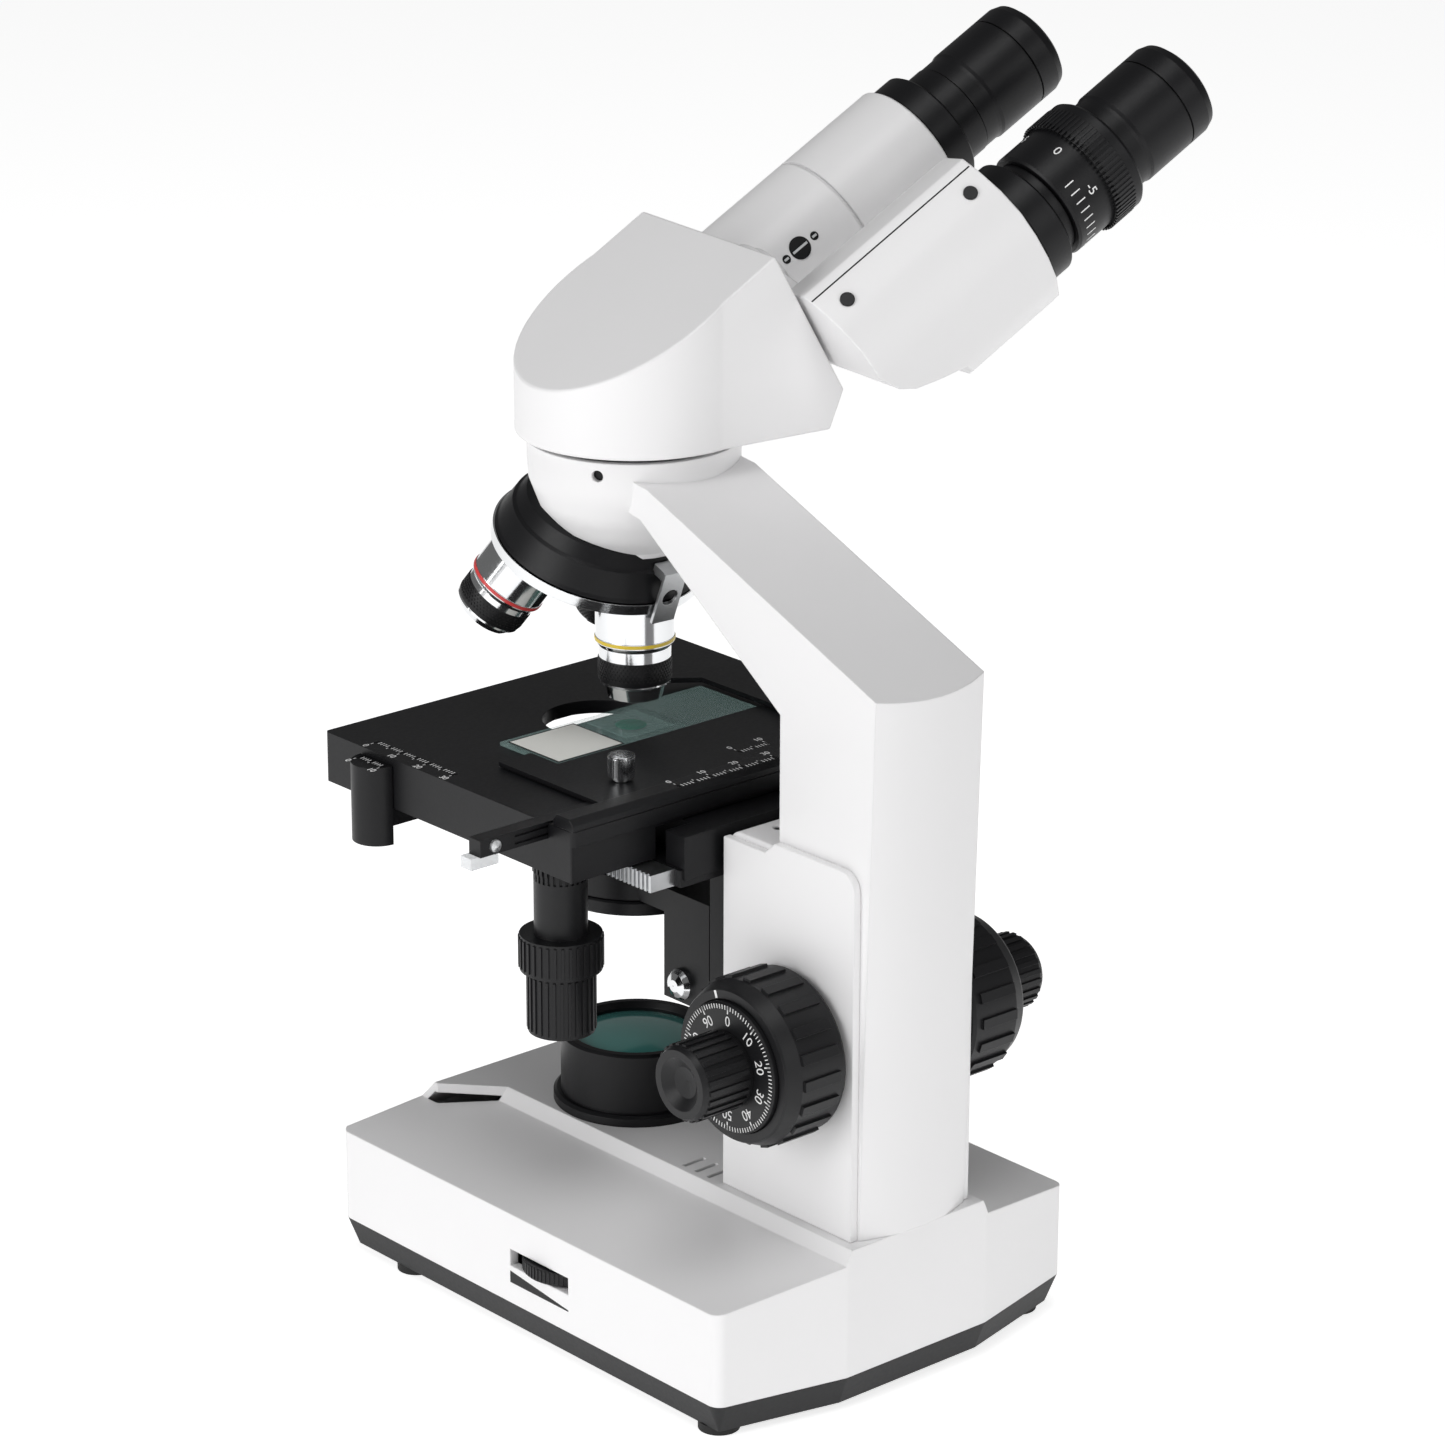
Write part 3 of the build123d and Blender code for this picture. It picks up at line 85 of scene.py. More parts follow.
class Sock:
    """A value in a node tree. Arithmetic on it adds Math nodes."""

    def __init__(self, graph: "Graph", socket: Any) -> None:
        """Wraps one output socket."""
        self.graph = graph
        self.socket = socket

    def _math(self, operation: str, first: Any, second: Any = 0.0) -> "Sock":
        """Adds one Math node.

        Args:
            operation: the Math node's operation.
            first: left operand, a Sock or number.
            second: right operand, a Sock or number.

        Returns:
            The node's result.
        """
        return self.graph.add("ShaderNodeMath", {"operation": operation}, {0: first, 1: second})

    def __add__(self, other: Any) -> "Sock":
        """Sum."""
        return self._math("ADD", self, other)

    __radd__ = __add__

    def __sub__(self, other: Any) -> "Sock":
        """Difference."""
        return self._math("SUBTRACT", self, other)

    def __rsub__(self, other: Any) -> "Sock":
        """Reflected difference."""
        return self._math("SUBTRACT", other, self)

    def __mul__(self, other: Any) -> "Sock":
        """Product."""
        return self._math("MULTIPLY", self, other)

    __rmul__ = __mul__

    def __truediv__(self, other: Any) -> "Sock":
        """Quotient."""
        return self._math("DIVIDE", self, other)

    def __mod__(self, other: Any) -> "Sock":
        """Remainder of a positive value."""
        return self._math("MODULO", self, other)

    def floor(self) -> "Sock":
        """Largest whole number not above the value."""
        return self._math("FLOOR", self)

    def cos(self) -> "Sock":
        """Cosine of the value in radians."""
        return self._math("COSINE", self)

    def sin(self) -> "Sock":
        """Sine of the value in radians."""
        return self._math("SINE", self)


class Graph:
    """A node tree that is filled through one method."""

    def __init__(self, tree: Any) -> None:
        """Starts from a tree."""
        self.tree = tree

    def add(self, kind: str, settings: dict | None = None, inputs: dict | None = None, out: Any = 0) -> Sock:
        """Adds a node.

        Args:
            kind: the node's type name.
            settings: attributes that are set before the inputs; "stops" fills a colour ramp.
            inputs: values or Socks by socket name or index.
            out: name or index of the output that is returned.

        Returns:
            The chosen output.
        """
        node = self.tree.nodes.new(kind)
        for name, value in (settings or {}).items():
            if name == "stops":
                for element, (place, shade) in zip(node.color_ramp.elements, value):
                    element.position = place
                    element.color = (*shade, 1.0)
            else:
                setattr(node, name, value)
        for name, value in (inputs or {}).items():
            if isinstance(value, Sock):
                self.tree.links.new(value.socket, node.inputs[name])
            else:
                node.inputs[name].default_value = value
        return Sock(self, node.outputs[out])


@dataclass(frozen=True)
class Finish:
    """One surface finish with fine relief and uneven gloss."""

    name: str
    colour: tuple[float, float, float]
    roughness: float
    metallic: float = 0.0
    coat: float = 0.0
    grain: float = 900.0
    relief: float = 0.00002
    stretch: tuple[float, float, float] = (1.0, 1.0, 1.0)
    edge: float = 0.00025
    alpha: float = 1.0
    shade: float = 0.08
    specular: float = 0.5

    def build(self) -> bpy.types.Material:
        """Makes the material.

        Returns:
            A material whose grain, shade and gloss vary with the place on the object.
        """
        material = bpy.data.materials.new(self.name)
        material.use_nodes = True
        graph = Graph(material.node_tree)
        shader = material.node_tree.nodes["Principled BSDF"]
        place = graph.add("ShaderNodeTexCoord", out="Object")
        spread = graph.add("ShaderNodeMapping", None, {"Vector": place, "Scale": self.stretch})
        fine = graph.add("ShaderNodeTexNoise", None, {"Vector": spread, "Scale": self.grain, "Detail": 4.0})
        broad = graph.add("ShaderNodeTexNoise", None, {"Vector": place, "Scale": BROAD_SCALE, "Detail": 3.0})
        dark = tuple(c * (1 - self.shade) for c in self.colour)
        tone = graph.add("ShaderNodeValToRGB", {"stops": ((0.3, dark), (0.7, self.colour))}, {"Fac": broad})
        gloss = self.roughness + (fine - 0.5) * FINE_GLOSS + (broad - 0.5) * BROAD_GLOSS
        soft = graph.add("ShaderNodeBevel", {"samples": 4}, {"Radius": self.edge})
        bump = graph.add("ShaderNodeBump", None, {"Height": fine, "Strength": RELIEF_STRENGTH,
                                                  "Distance": self.relief, "Normal": soft})
        for socket, value in (("Base Color", tone), ("Roughness", gloss), ("Normal", bump)):
            material.node_tree.links.new(value.socket, shader.inputs[socket])
        shader.inputs["Metallic"].default_value = self.metallic
        shader.inputs["Coat Weight"].default_value = self.coat
        shader.inputs["Specular IOR Level"].default_value = self.specular
        shader.inputs["Alpha"].default_value = self.alpha
        return material


class Finishes:
    """All finishes of the instrument, each made once."""

    LIST = (
        Finish("white_enamel", (0.8, 0.795, 0.8), 0.45, coat=0.1, relief=0.00003, edge=0.0006, shade=0.02),
        Finish("black_enamel", (0.006, 0.006, 0.007), 0.4, specular=0.25),
        Finish("black_moulding", (0.007, 0.007, 0.008), 0.42, grain=1600.0, specular=0.3),
        Finish("base_tray", (0.009, 0.009, 0.01), 0.55, specular=0.3),
        Finish("foot_rubber", (0.012, 0.012, 0.012), 0.8, grain=2200.0, relief=0.00005),
        Finish("brushed_steel", (0.6, 0.61, 0.62), 0.3, metallic=1.0, stretch=(1.0, 1.0, 8.0)),
        Finish("bright_chrome", (0.78, 0.79, 0.8), 0.13, metallic=1.0, relief=0.000005, edge=0.00015),
        Finish("lamp_lens", (0.1, 0.36, 0.33), 0.14, coat=0.6, relief=0.000002, shade=0.35),
        Finish("clear_glass", (0.55, 0.8, 0.76), 0.05, relief=0.000001, alpha=0.2, specular=0.3),
        Finish("dark_glass", (0.01, 0.015, 0.03), 0.04, coat=1.0, relief=0.000001),
        Finish("clear_acrylic", (0.8, 0.82, 0.84), 0.1, coat=0.3, alpha=0.55),
        Finish("scale_white", (0.85, 0.85, 0.85), 0.55, edge=0.00002),
        Finish("ring_yellow", (0.85, 0.62, 0.04), 0.35, edge=0.0001),
        Finish("ring_red", (0.62, 0.05, 0.05), 0.35, edge=0.0001),
        Finish("ring_blue", (0.04, 0.15, 0.55), 0.35, edge=0.0001),
        Finish("paper_label", (0.8, 0.8, 0.76), 0.8, edge=0.00002),
        Finish("green_tissue", (0.03, 0.3, 0.2), 0.5, shade=0.7, grain=500.0),
    )

    SLOTS = {"white_enamel": "white_paint", "black_enamel": "black_paint", "black_moulding": "black_plastic",
             "brushed_steel": "steel", "bright_chrome": "chrome"}

    def __init__(self) -> None:
        """Builds every material."""
        self.made = {finish.name: finish.build() for finish in self.LIST}

    def __getitem__(self, name: str) -> bpy.types.Material:
        """The material of that name."""
        return self.made[name]


def placed(origin: Vector, axis: Vector, across: Vector) -> Matrix:
    """A frame with Z along axis and X near across, in metres."""
    z = axis.normalized()
    x = (across - z * across.dot(z)).normalized()
    turn = Matrix((x, z.cross(x), z)).transposed().to_4x4()
    return Matrix.Translation(origin) @ turn


@dataclass
class Ring:
    """Sizes of a pattern of small blocks round an axis, in millimetres and degrees."""

    count: int
    radius: float
    size: tuple[float, float, float]
    lift: float
    rows: int = 1
    pitch: float = 0.0
    arc: float = 360.0
    start: float = 0.0
    roll: float = 0.0
    stagger: float = 0.0


class Workshop:
    """Makes pieces, puts them in place and lets them ride."""

    def __init__(self, finishes: Finishes, frame: dict) -> None:
        """Keeps the finishes and the loaded frame."""
        self.finishes = finishes
        self.frame = frame
        self.ring_tree = self._ring_tree()

    def keep(self, name: str, mesh: bpy.types.Mesh, place: Matrix, finish: str,
             body: str) -> bpy.types.Object:
        """Turns a mesh into a finished piece.

        Args:
            name: the piece's name.
            mesh: its mesh, in its own frame, in metres.
            place: where that frame lies.
            finish: the finish's name.
            body: the body that it rides on.

        Returns:
            The piece.
        """
        mesh.transform(place)
        mesh.materials.clear()
        mesh.materials.append(self.finishes[finish])
        piece = bpy.data.objects.new(name, mesh)
        bpy.context.scene.collection.objects.link(piece)
        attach(piece, body)
        finish in self.finishes.SLOTS
        LOG.info("%s rides on %s with %d faces", name, body, len(mesh.polygons))
        return piece

    def _ring_tree(self) -> bpy.types.NodeTree:
        """Builds the Geometry Nodes tree that sets blocks round an axis."""
        tree = bpy.data.node_groups.new("ring_of_blocks", "GeometryNodeTree")
        sockets = (("Count", "NodeSocketInt"), ("Rows", "NodeSocketInt"), ("Radius", "NodeSocketFloat"),
                   ("Arc", "NodeSocketFloat"), ("Start", "NodeSocketFloat"), ("Pitch", "NodeSocketFloat"),
                   ("Lift", "NodeSocketFloat"), ("Stagger", "NodeSocketFloat"), ("Roll", "NodeSocketFloat"),
                   ("Size", "NodeSocketVector"), ("Material", "NodeSocketMaterial"))
        for name, kind in sockets:
            tree.interface.new_socket(name=name, in_out="INPUT", socket_type=kind)
        tree.interface.new_socket(name="Mesh", in_out="OUTPUT", socket_type="NodeSocketGeometry")
        graph = Graph(tree)
        entry = tree.nodes.new("NodeGroupInput")
        given = {name: Sock(graph, entry.outputs[name]) for name, _ in sockets}
        total = given["Count"] * given["Rows"]
        line = graph.add("GeometryNodeMeshLine", None, {"Count": total})
        index = graph.add("GeometryNodeInputIndex")
        row = (index / given["Count"] + 0.0001).floor()
        column = index - row * given["Count"]
        angle = given["Start"] + given["Arc"] * (column + (row % 2) * given["Stagger"]) / given["Count"]
        height = given["Lift"] + row * given["Pitch"]
        spot = graph.add("ShaderNodeCombineXYZ", None, {"X": given["Radius"] * angle.cos(),
                                                        "Y": given["Radius"] * angle.sin(), "Z": height})
        points = graph.add("GeometryNodeSetPosition", None, {"Geometry": line, "Position": spot})
        turn = graph.add("ShaderNodeCombineXYZ", None, {"X": given["Roll"], "Z": angle})
        cube = graph.add("GeometryNodeMeshCube", None, {"Size": given["Size"]})
        many = graph.add("GeometryNodeInstanceOnPoints", None,
                         {"Points": points, "Instance": cube, "Rotation": turn})
        real = graph.add("GeometryNodeRealizeInstances", None, {"Geometry": many})
        done = graph.add("GeometryNodeSetMaterial", None, {"Geometry": real, "Material": given["Material"]})
        exit_node = tree.nodes.new("NodeGroupOutput")
        tree.links.new(done.socket, exit_node.inputs["Mesh"])
        return tree

    def ring(self, name: str, sizes: Ring, place: Matrix, finish: str, body: str) -> bpy.types.Object:
        """Sets small blocks round an axis, as one piece.

        Args:
            name: the piece's name.
            sizes: the pattern.
            place: frame whose Z is the axis.
            finish: the finish's name.
            body: the body that it rides on.

        Returns:
            The piece.
        """
        values = {"Count": sizes.count, "Rows": sizes.rows, "Radius": sizes.radius * MM,
                  "Arc": math.radians(sizes.arc), "Start": math.radians(sizes.start),
                  "Pitch": sizes.pitch * MM, "Lift": sizes.lift * MM, "Stagger": sizes.stagger,
                  "Roll": math.radians(sizes.roll),
                  "Size": tuple(v * MM for v in sizes.size), "Material": self.finishes[finish]}
        holder = bpy.data.objects.new(name + "_pattern", bpy.data.meshes.new(name + "_pattern"))
        bpy.context.scene.collection.objects.link(holder)
        modifier = holder.modifiers.new("pattern", "NODES")
        modifier.node_group = self.ring_tree
        for item in self.ring_tree.interface.items_tree:
            if item.in_out == "INPUT":
                modifier[item.identifier] = values[item.name]
        holder.update_tag()
        depsgraph = bpy.context.evaluated_depsgraph_get()
        mesh = bpy.data.meshes.new_from_object(holder.evaluated_get(depsgraph))
        holder.modifiers.remove(modifier)
        bpy.data.objects.remove(holder)
        return self.keep(name, mesh, place, finish, body)

    def lathe(self, name: str, profile: Sequence[tuple[float, float]], place: Matrix, finish: str,
              body: str, steps: int = 96) -> bpy.types.Object:
        """Turns a closed (radius, height) outline in millimetres about Z.

        Args:
            name: the piece's name.
            profile: corners, listed so that the solid is on the left going up its outer side.
            place: frame whose Z is the axis.
            finish: the finish's name.
            body: the body that it rides on.
            steps: facets round the axis.

        Returns:
            The piece.
        """
        shape = bmesh.new()
        rings = []
        for step in range(steps):
            a = 2 * math.pi * step / steps
            rings.append([shape.verts.new((r * MM * math.cos(a), r * MM * math.sin(a), z * MM))
                          for r, z in profile])
        count = len(profile)
        for step in range(steps):
            near, far = rings[step], rings[(step + 1) % steps]
            for i in range(count):
                j = (i + 1) % count
                shape.faces.new((near[i], far[i], far[j], near[j]))
        bmesh.ops.remove_doubles(shape, verts=shape.verts, dist=1e-7)
        bmesh.ops.recalc_face_normals(shape, faces=shape.faces)
        for face in shape.faces:
            face.smooth = True
        for edge in shape.edges:
            if len(edge.link_faces) == 2 and edge.calc_face_angle(0.0) > math.radians(SHARP_ANGLE):
                edge.smooth = False
        mesh = bpy.data.meshes.new(name)
        shape.to_mesh(mesh)
        shape.free()
        return self.keep(name, mesh, place, finish, body)

    def text(self, name: str, words: str, height: float, place: Matrix, finish: str,
             body: str) -> bpy.types.Object:
        """Raises a number on a surface.

        Args:
            name: the piece's name.
            words: the number.
            height: letter height in millimetres.
            place: frame whose Z leaves the surface and whose X is the reading direction.
            finish: the finish's name.
            body: the body that it rides on.

        Returns:
            The piece.
        """
        curve = bpy.data.curves.new(name + "_curve", "FONT")
        curve.body = words
        curve.size = height * MM
        curve.extrude = LETTER_LIFT * MM
        curve.align_x = "CENTER"
        curve.align_y = "CENTER"
        holder = bpy.data.objects.new(name + "_curve", curve)
        bpy.context.scene.collection.objects.link(holder)
        depsgraph = bpy.context.evaluated_depsgraph_get()
        mesh = bpy.data.meshes.new_from_object(holder.evaluated_get(depsgraph))
        bpy.data.objects.remove(holder)
        return self.keep(name, mesh, place, finish, body)

    def block(self, name: str, low: Sequence[float], high: Sequence[float], finish: str,
              body: str) -> bpy.types.Object:
        """A thin rectangular patch with softened edges, between two corners in millimetres."""
        shape = bmesh.new()
        bmesh.ops.create_cube(shape, size=1.0)
        middle = [(a + b) / 2 * MM for a, b in zip(low, high)]
        for vert in shape.verts:
            vert.co = Vector([m + c * (b - a) * MM for m, c, a, b in zip(middle, vert.co, low, high)])
        soft = min(b - a for a, b in zip(low, high)) * MM * 0.3
        bmesh.ops.bevel(shape, geom=shape.edges[:], offset=soft, segments=2, affect="EDGES", profile=0.5)
        bmesh.ops.recalc_face_normals(shape, faces=shape.faces)
        mesh = bpy.data.meshes.new(name)
        shape.to_mesh(mesh)
        shape.free()
        return self.keep(name, mesh, Matrix.Identity(4), finish, body)

    def soften(self, node: str, finish: str, body: str, width: float) -> None:
        """Stands a round-edged copy in for a CAD casting.

        Args:
            node: the CAD node.
            finish: the finish's name.
            body: its body.
            width: edge radius in millimetres.
        """
        mesh = self.frame["nodes"][node].data.copy()
        shape = bmesh.new()
        shape.from_mesh(mesh)
        bmesh.ops.remove_doubles(shape, verts=shape.verts, dist=2e-6)
        bmesh.ops.dissolve_limit(shape, angle_limit=math.radians(0.5), verts=shape.verts, edges=shape.edges)
        for face in shape.faces:
            face.smooth = True
        shape.to_mesh(mesh)
        shape.free()
        piece = self.keep(node + "_shell", mesh, Matrix.Identity(4), finish, body)
        bevel = piece.modifiers.new("edges", "BEVEL")
        bevel.width = width * MM
        bevel.segments = 3
        bevel.limit_method = "ANGLE"
        bevel.angle_limit = math.radians(32)
        weighted = piece.modifiers.new("normals", "WEIGHTED_NORMAL")
        weighted.keep_sharp = True
        weighted.weight = 90
        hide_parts(node)


@dataclass
class CadDress:
    """Finishes of the CAD nodes that show as they are."""

    finishes: dict[str, str] = field(default_factory=lambda: {
        "white_paint": "white_enamel", "black_paint": "black_enamel", "black_plastic": "black_moulding",
        "steel": "brushed_steel", "chrome": "bright_chrome", "rubber": "foot_rubber",
        "lens_glass": "lamp_lens", "clear_glass": "clear_glass", "clear_plastic": "clear_acrylic"})
    special: dict[str, str] = field(default_factory=lambda: {
        "base_plate": "base_tray", "clip_lever": "black_enamel", "stand_screws": "black_enamel",
        "cover_screws": "black_enamel", "tube_screws": "black_enamel", "dovetail_ring": "black_enamel",
        "hinge_tube": "white_enamel"})

    def dress(self, shop: Workshop) -> None:
        """Assigns a finish to every CAD node by its material slot."""
        slots = {part["node"]: part["material_slot"] for part in shop.frame["record"]["subparts"]}
        for node, thing in shop.frame["nodes"].items():
            finish = self.special.get(node, self.finishes[slots[node]])
            thing.data.materials.clear()
            thing.data.materials.append(shop.finishes[finish])
        LOG.info("dressed %d CAD nodes", len(slots))


@dataclass
class Castings:
    """The painted castings, with the radius of their edges in millimetres."""

    white: dict[str, tuple[str, float]] = field(default_factory=lambda: {
        "base_shell": ("stand", 1.6), "arm": ("stand", 1.8), "focus_housing": ("stand", 0.8),
        "left_side_cover": ("stand", 0.6), "right_side_cover": ("stand", 0.6),
        "head_housing": ("head", 2.0), "left_tube_housing": ("left_tube", 1.2)})
    black: dict[str, tuple[str, float]] = field(default_factory=lambda: {
        "stage_plate": ("y_stage", 0.5), "stage_base": ("carriage", 0.4), "x_guide": ("y_stage", 0.3),
        "focus_column": ("carriage", 0.5), "holder_plate": ("x_carriage", 0.2)})

    def build(self, shop: Workshop) -> None:
        """Makes round-edged shells for all castings."""
        for finish, group in (("white_enamel", self.white), ("black_enamel", self.black)):
            for node, (body, width) in group.items():
                shop.soften(node, finish, body, width)


@dataclass
class FocusDrive:
    """Markings on the focus knobs."""

    face_x: float = -46.9
    tick_radius: float = 17.4
    number_radius: float = 13.6
    number_height: float = 4.2
    divisions: int = 100
    tens: int = 10
    minor_shift: float = 0.2
    major_shift: float = -0.3
    minor_size: tuple[float, float, float] = (1.3, 0.26, 0.06)
    major_size: tuple[float, float, float] = (2.4, 0.4, 0.06)
    index_radius: float = 20.4
    index_length: float = 2.2
    index_lift: float = -1.88
    index_angle: float = 20.0

    def build(self, shop: Workshop) -> None:
        """Makes the graduations, numbers and index line of the dial."""
        joint = next(j for j in shop.frame["joints"] if j["name"] == "fine_turn")
        centre = Vector(joint["pos_m"])
        place = placed(centre + Vector((self.face_x * MM, 0, 0)), Vector((-1, 0, 0)), Vector((0, 0, 1)))
        minor = Ring(self.divisions, self.tick_radius + self.minor_shift, self.minor_size, 0.0)
        major = Ring(self.tens, self.tick_radius + self.major_shift, self.major_size, 0.0)
        shop.ring("dial_ticks", minor, place, "scale_white", "fine_drive")
        shop.ring("dial_tens", major, place, "scale_white", "fine_drive")
        for i in range(self.tens):
            a = -2 * math.pi * i / self.tens
            out = place.to_3x3() @ Vector((math.cos(a), math.sin(a), 0))
            spot = place.translation + out * (self.number_radius * MM)
            frame = placed(spot, Vector((-1, 0, 0)), out.cross(Vector((-1, 0, 0))))
            shop.text(f"dial_number_{i}", str(10 * i), self.number_height, frame, "scale_white", "fine_drive")
        index = Ring(1, self.index_radius, (self.index_length, 0.9, 0.08), self.index_lift,
                     start=self.index_angle)
        shop.ring("coarse_index", index, place, "scale_white", "coarse_drive")


@dataclass
class StageScales:
    """Scales, verniers, slide label and specimen on the stage, in millimetres."""

    top: float = 163.0
    y_scale_x: float = -60.5
    y_scale: tuple[float, float] = (6.5, 42.4)
    guide_top: float = 166.5
    x_scale_start: float = -26.0
    x_scale_y: float = -49.5
    tick: float = 1.5
    tick_width: float = 0.26
    five_tick: float = 1.5
    ten_tick: float = 2.1
    number_gap: float = 1.4
    number_height: float = 2.9
    divisions: int = 30
    x_pitch: float = 1.2
    vernier_divisions: int = 10
    vernier_pitch: float = 1.08
    vernier_x: float = 9.0
    vernier_y: float = -35.4
    label_x: tuple[float, float] = (1.5, 26.0)
    label_half: float = 11.5
    label_rim: float = 0.6
    holder_top: float = 164.6
    boss: tuple[float, float, float] = (-68.2, 40.6, 160.8)

    def _scale(self, shop: Workshop, name: str, origin: Vector, along: Axis, pitch: float, body: str,
               divisions: int) -> None:
        """Lays rows of ticks with longer ones at fives and tens, and a number at each ten.

        Args:
            shop: makes the pieces.
            name: start of the pieces' names.
            origin: the zero mark, in millimetres.
            along: the way the scale runs.
            pitch: distance between ticks in millimetres, negative to run backwards.
            body: the body that it rides on.
            divisions: how many ticks follow the zero mark.
        """
        step = Vector(along.value)
        side = Vector((0, 0, 1)).cross(step)
        place = placed(origin * MM, step, side)
        for every, longer in ((1, 1.0), (5, self.five_tick), (10, self.ten_tick)):
            length = self.tick * longer
            row = Ring(1, length / 2 - 0.5, (length, 0.08, self.tick_width), 0.0,
                       rows=divisions // every + 1, pitch=pitch * every)
            shop.ring(f"{name}_ticks_{every}", row, place, "scale_white", body)
        for i in range(0, divisions + 1, 10):
            beside = side * (self.tick * self.ten_tick + self.number_gap)
            spot = (origin + step * (pitch * i) + beside + Vector((0, 0, 0.02))) * MM
            frame = placed(spot, Vector((0, 0, 1)), step * math.copysign(1, pitch))
            shop.text(f"{name}_number_{i}", str(i), self.number_height, frame, "scale_white", body)

    def build(self, shop: Workshop) -> None:
        """Makes the scales with their verniers, the slide's label and the specimen."""
        start = Vector((self.y_scale_x, self.y_scale[1], self.top))
        pitch = (self.y_scale[0] - self.y_scale[1]) / self.divisions
        self._scale(shop, "y_scale", start, Axis.ALONG_Y, pitch, "y_stage", self.divisions)
        start = Vector((self.x_scale_start, self.x_scale_y, self.guide_top))
        self._scale(shop, "x_scale", start, Axis.ALONG_X, self.x_pitch, "y_stage", self.divisions)
        start, few = Vector((self.vernier_x, self.vernier_y, self.holder_top)), self.vernier_divisions
        self._scale(shop, "x_vernier", start, Axis.ALONG_X, self.vernier_pitch, "x_carriage", few)
        self._scale(shop, "y_vernier", Vector(self.boss), Axis.ALONG_Y, -self.vernier_pitch, "carriage", few)
        low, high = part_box("glass_slide")
        x, y, z = low.x / MM, (low.y + high.y) / 2 / MM, high.z / MM
        for name, rim, bottom, top, finish in (
                ("slide_label_border", 0.0, z, z + 0.06, "black_moulding"),
                ("slide_label", self.label_rim, z + 0.04, z + 0.12, "paper_label")):
            half = self.label_half - rim
            near = (x + self.label_x[0] + rim, y - half, bottom)
            shop.block(name, near, (x + self.label_x[1] - rim, y + half, top), finish, "x_carriage")
        low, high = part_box("cover_glass")
        centre = (low + high) / 2
        place = Matrix.Translation((centre.x, centre.y, low.z - 0.02 * MM))
        disc = [(0, 0), (4.6, 0), (4.4, 0.1), (0, 0.1)]
        shop.lathe("specimen", disc, place, "green_tissue", "x_carriage", 40)


@dataclass
class StageKnobs:
    """Ribs on the two coaxial stage knobs and on the thumb screw, in millimetres."""

    rib: float = 0.8
    knurl_radius: float = 3.65
    knurl_drop: float = 3.3
    knobs: tuple[tuple[str, float, int, float, float], ...] = (
        ("y_knob", 11.6, 34, 114.6, 123.6), ("x_knob", 9.4, 28, 96.0, 112.4))

    def build(self, shop: Workshop) -> None:
        """Makes the ribs of both knobs and the knurl of the thumb screw."""
        for node, radius, count, low, high in self.knobs:
            joint = next(j for j in shop.frame["joints"] if j["name"] == node + "_turn")
            centre = Vector((joint["pos_m"][0], joint["pos_m"][1], 0))
            ribs = Ring(count, radius, (1.0, self.rib, high - low), (low + high) / 2)
            shop.ring(node + "_ribs", ribs, Matrix.Translation(centre), "black_moulding", node)
        low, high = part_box("thumb_screw")
        centre = Matrix.Translation(((low.x + high.x) / 2, (low.y + high.y) / 2, 0))
        ribs = Ring(30, self.knurl_radius, (0.5, 0.38, 5.4), high.z / MM - self.knurl_drop)
        shop.ring("thumb_screw_knurl", ribs, centre, "bright_chrome", "thumb_screw")


@dataclass
class Nosepiece:
    """Colour rings and grip bands of the three objectives."""

    apex_to_ring: float = 64.0
    grip_radius: float = 10.5
    grip_edge: float = 0.3
    knurl_pitch: float = 0.9
    barrels: tuple[tuple[str, float, str, float, float], ...] = (
        ("objective_10x", 90.0, "ring_yellow", 69.4, 76.6), ("objective_4x", 210.0, "ring_red", 67.9, 73.8),
        ("objective_40x", 330.0, "ring_blue", 78.6, 86.0))

    def build(self, shop: Workshop) -> None:
        """Makes a colour ring and a knurled band for each objective."""
        joint = next(j for j in shop.frame["joints"] if j["name"] == "turret_turn")
        apex, axis = Vector(joint["pos_m"]), Vector(joint["axis"])
        lean = math.acos(-axis.z)
        x = Vector((1, 0, 0))
        y = axis.cross(x)
        for name, angle, finish, low, high in self.barrels:
            a = math.radians(angle)
            across = x * math.cos(a) + y * math.sin(a)
            direction = axis * math.cos(lean) + across * math.sin(lean)
            place = placed(apex, direction, axis.cross(across))
            z = self.apex_to_ring
            band = [(11.0, z - 0.6), (11.62, z - 0.5), (11.66, z), (11.62, z + 0.5), (11.0, z + 0.6)]
            shop.lathe(name + "_ring", band, place, finish, "turret")
            full, edge = self.grip_radius, self.grip_edge
            grip = [(9.6, low), (10.35, low), (full, low + edge),
                    (full, high - edge), (10.35, high), (9.6, high)]
            shop.lathe(name + "_grip", grip, place, "black_moulding", "turret")
            rows = int((high - low - 1.0) / self.knurl_pitch)
            knurl = Ring(54, 10.45, (0.5, 0.6, 0.6), low + 0.9, rows=rows, pitch=self.knurl_pitch,
                         roll=45.0, stagger=0.5)
            shop.ring(name + "_knurl", knurl, place, "black_moulding", "turret")


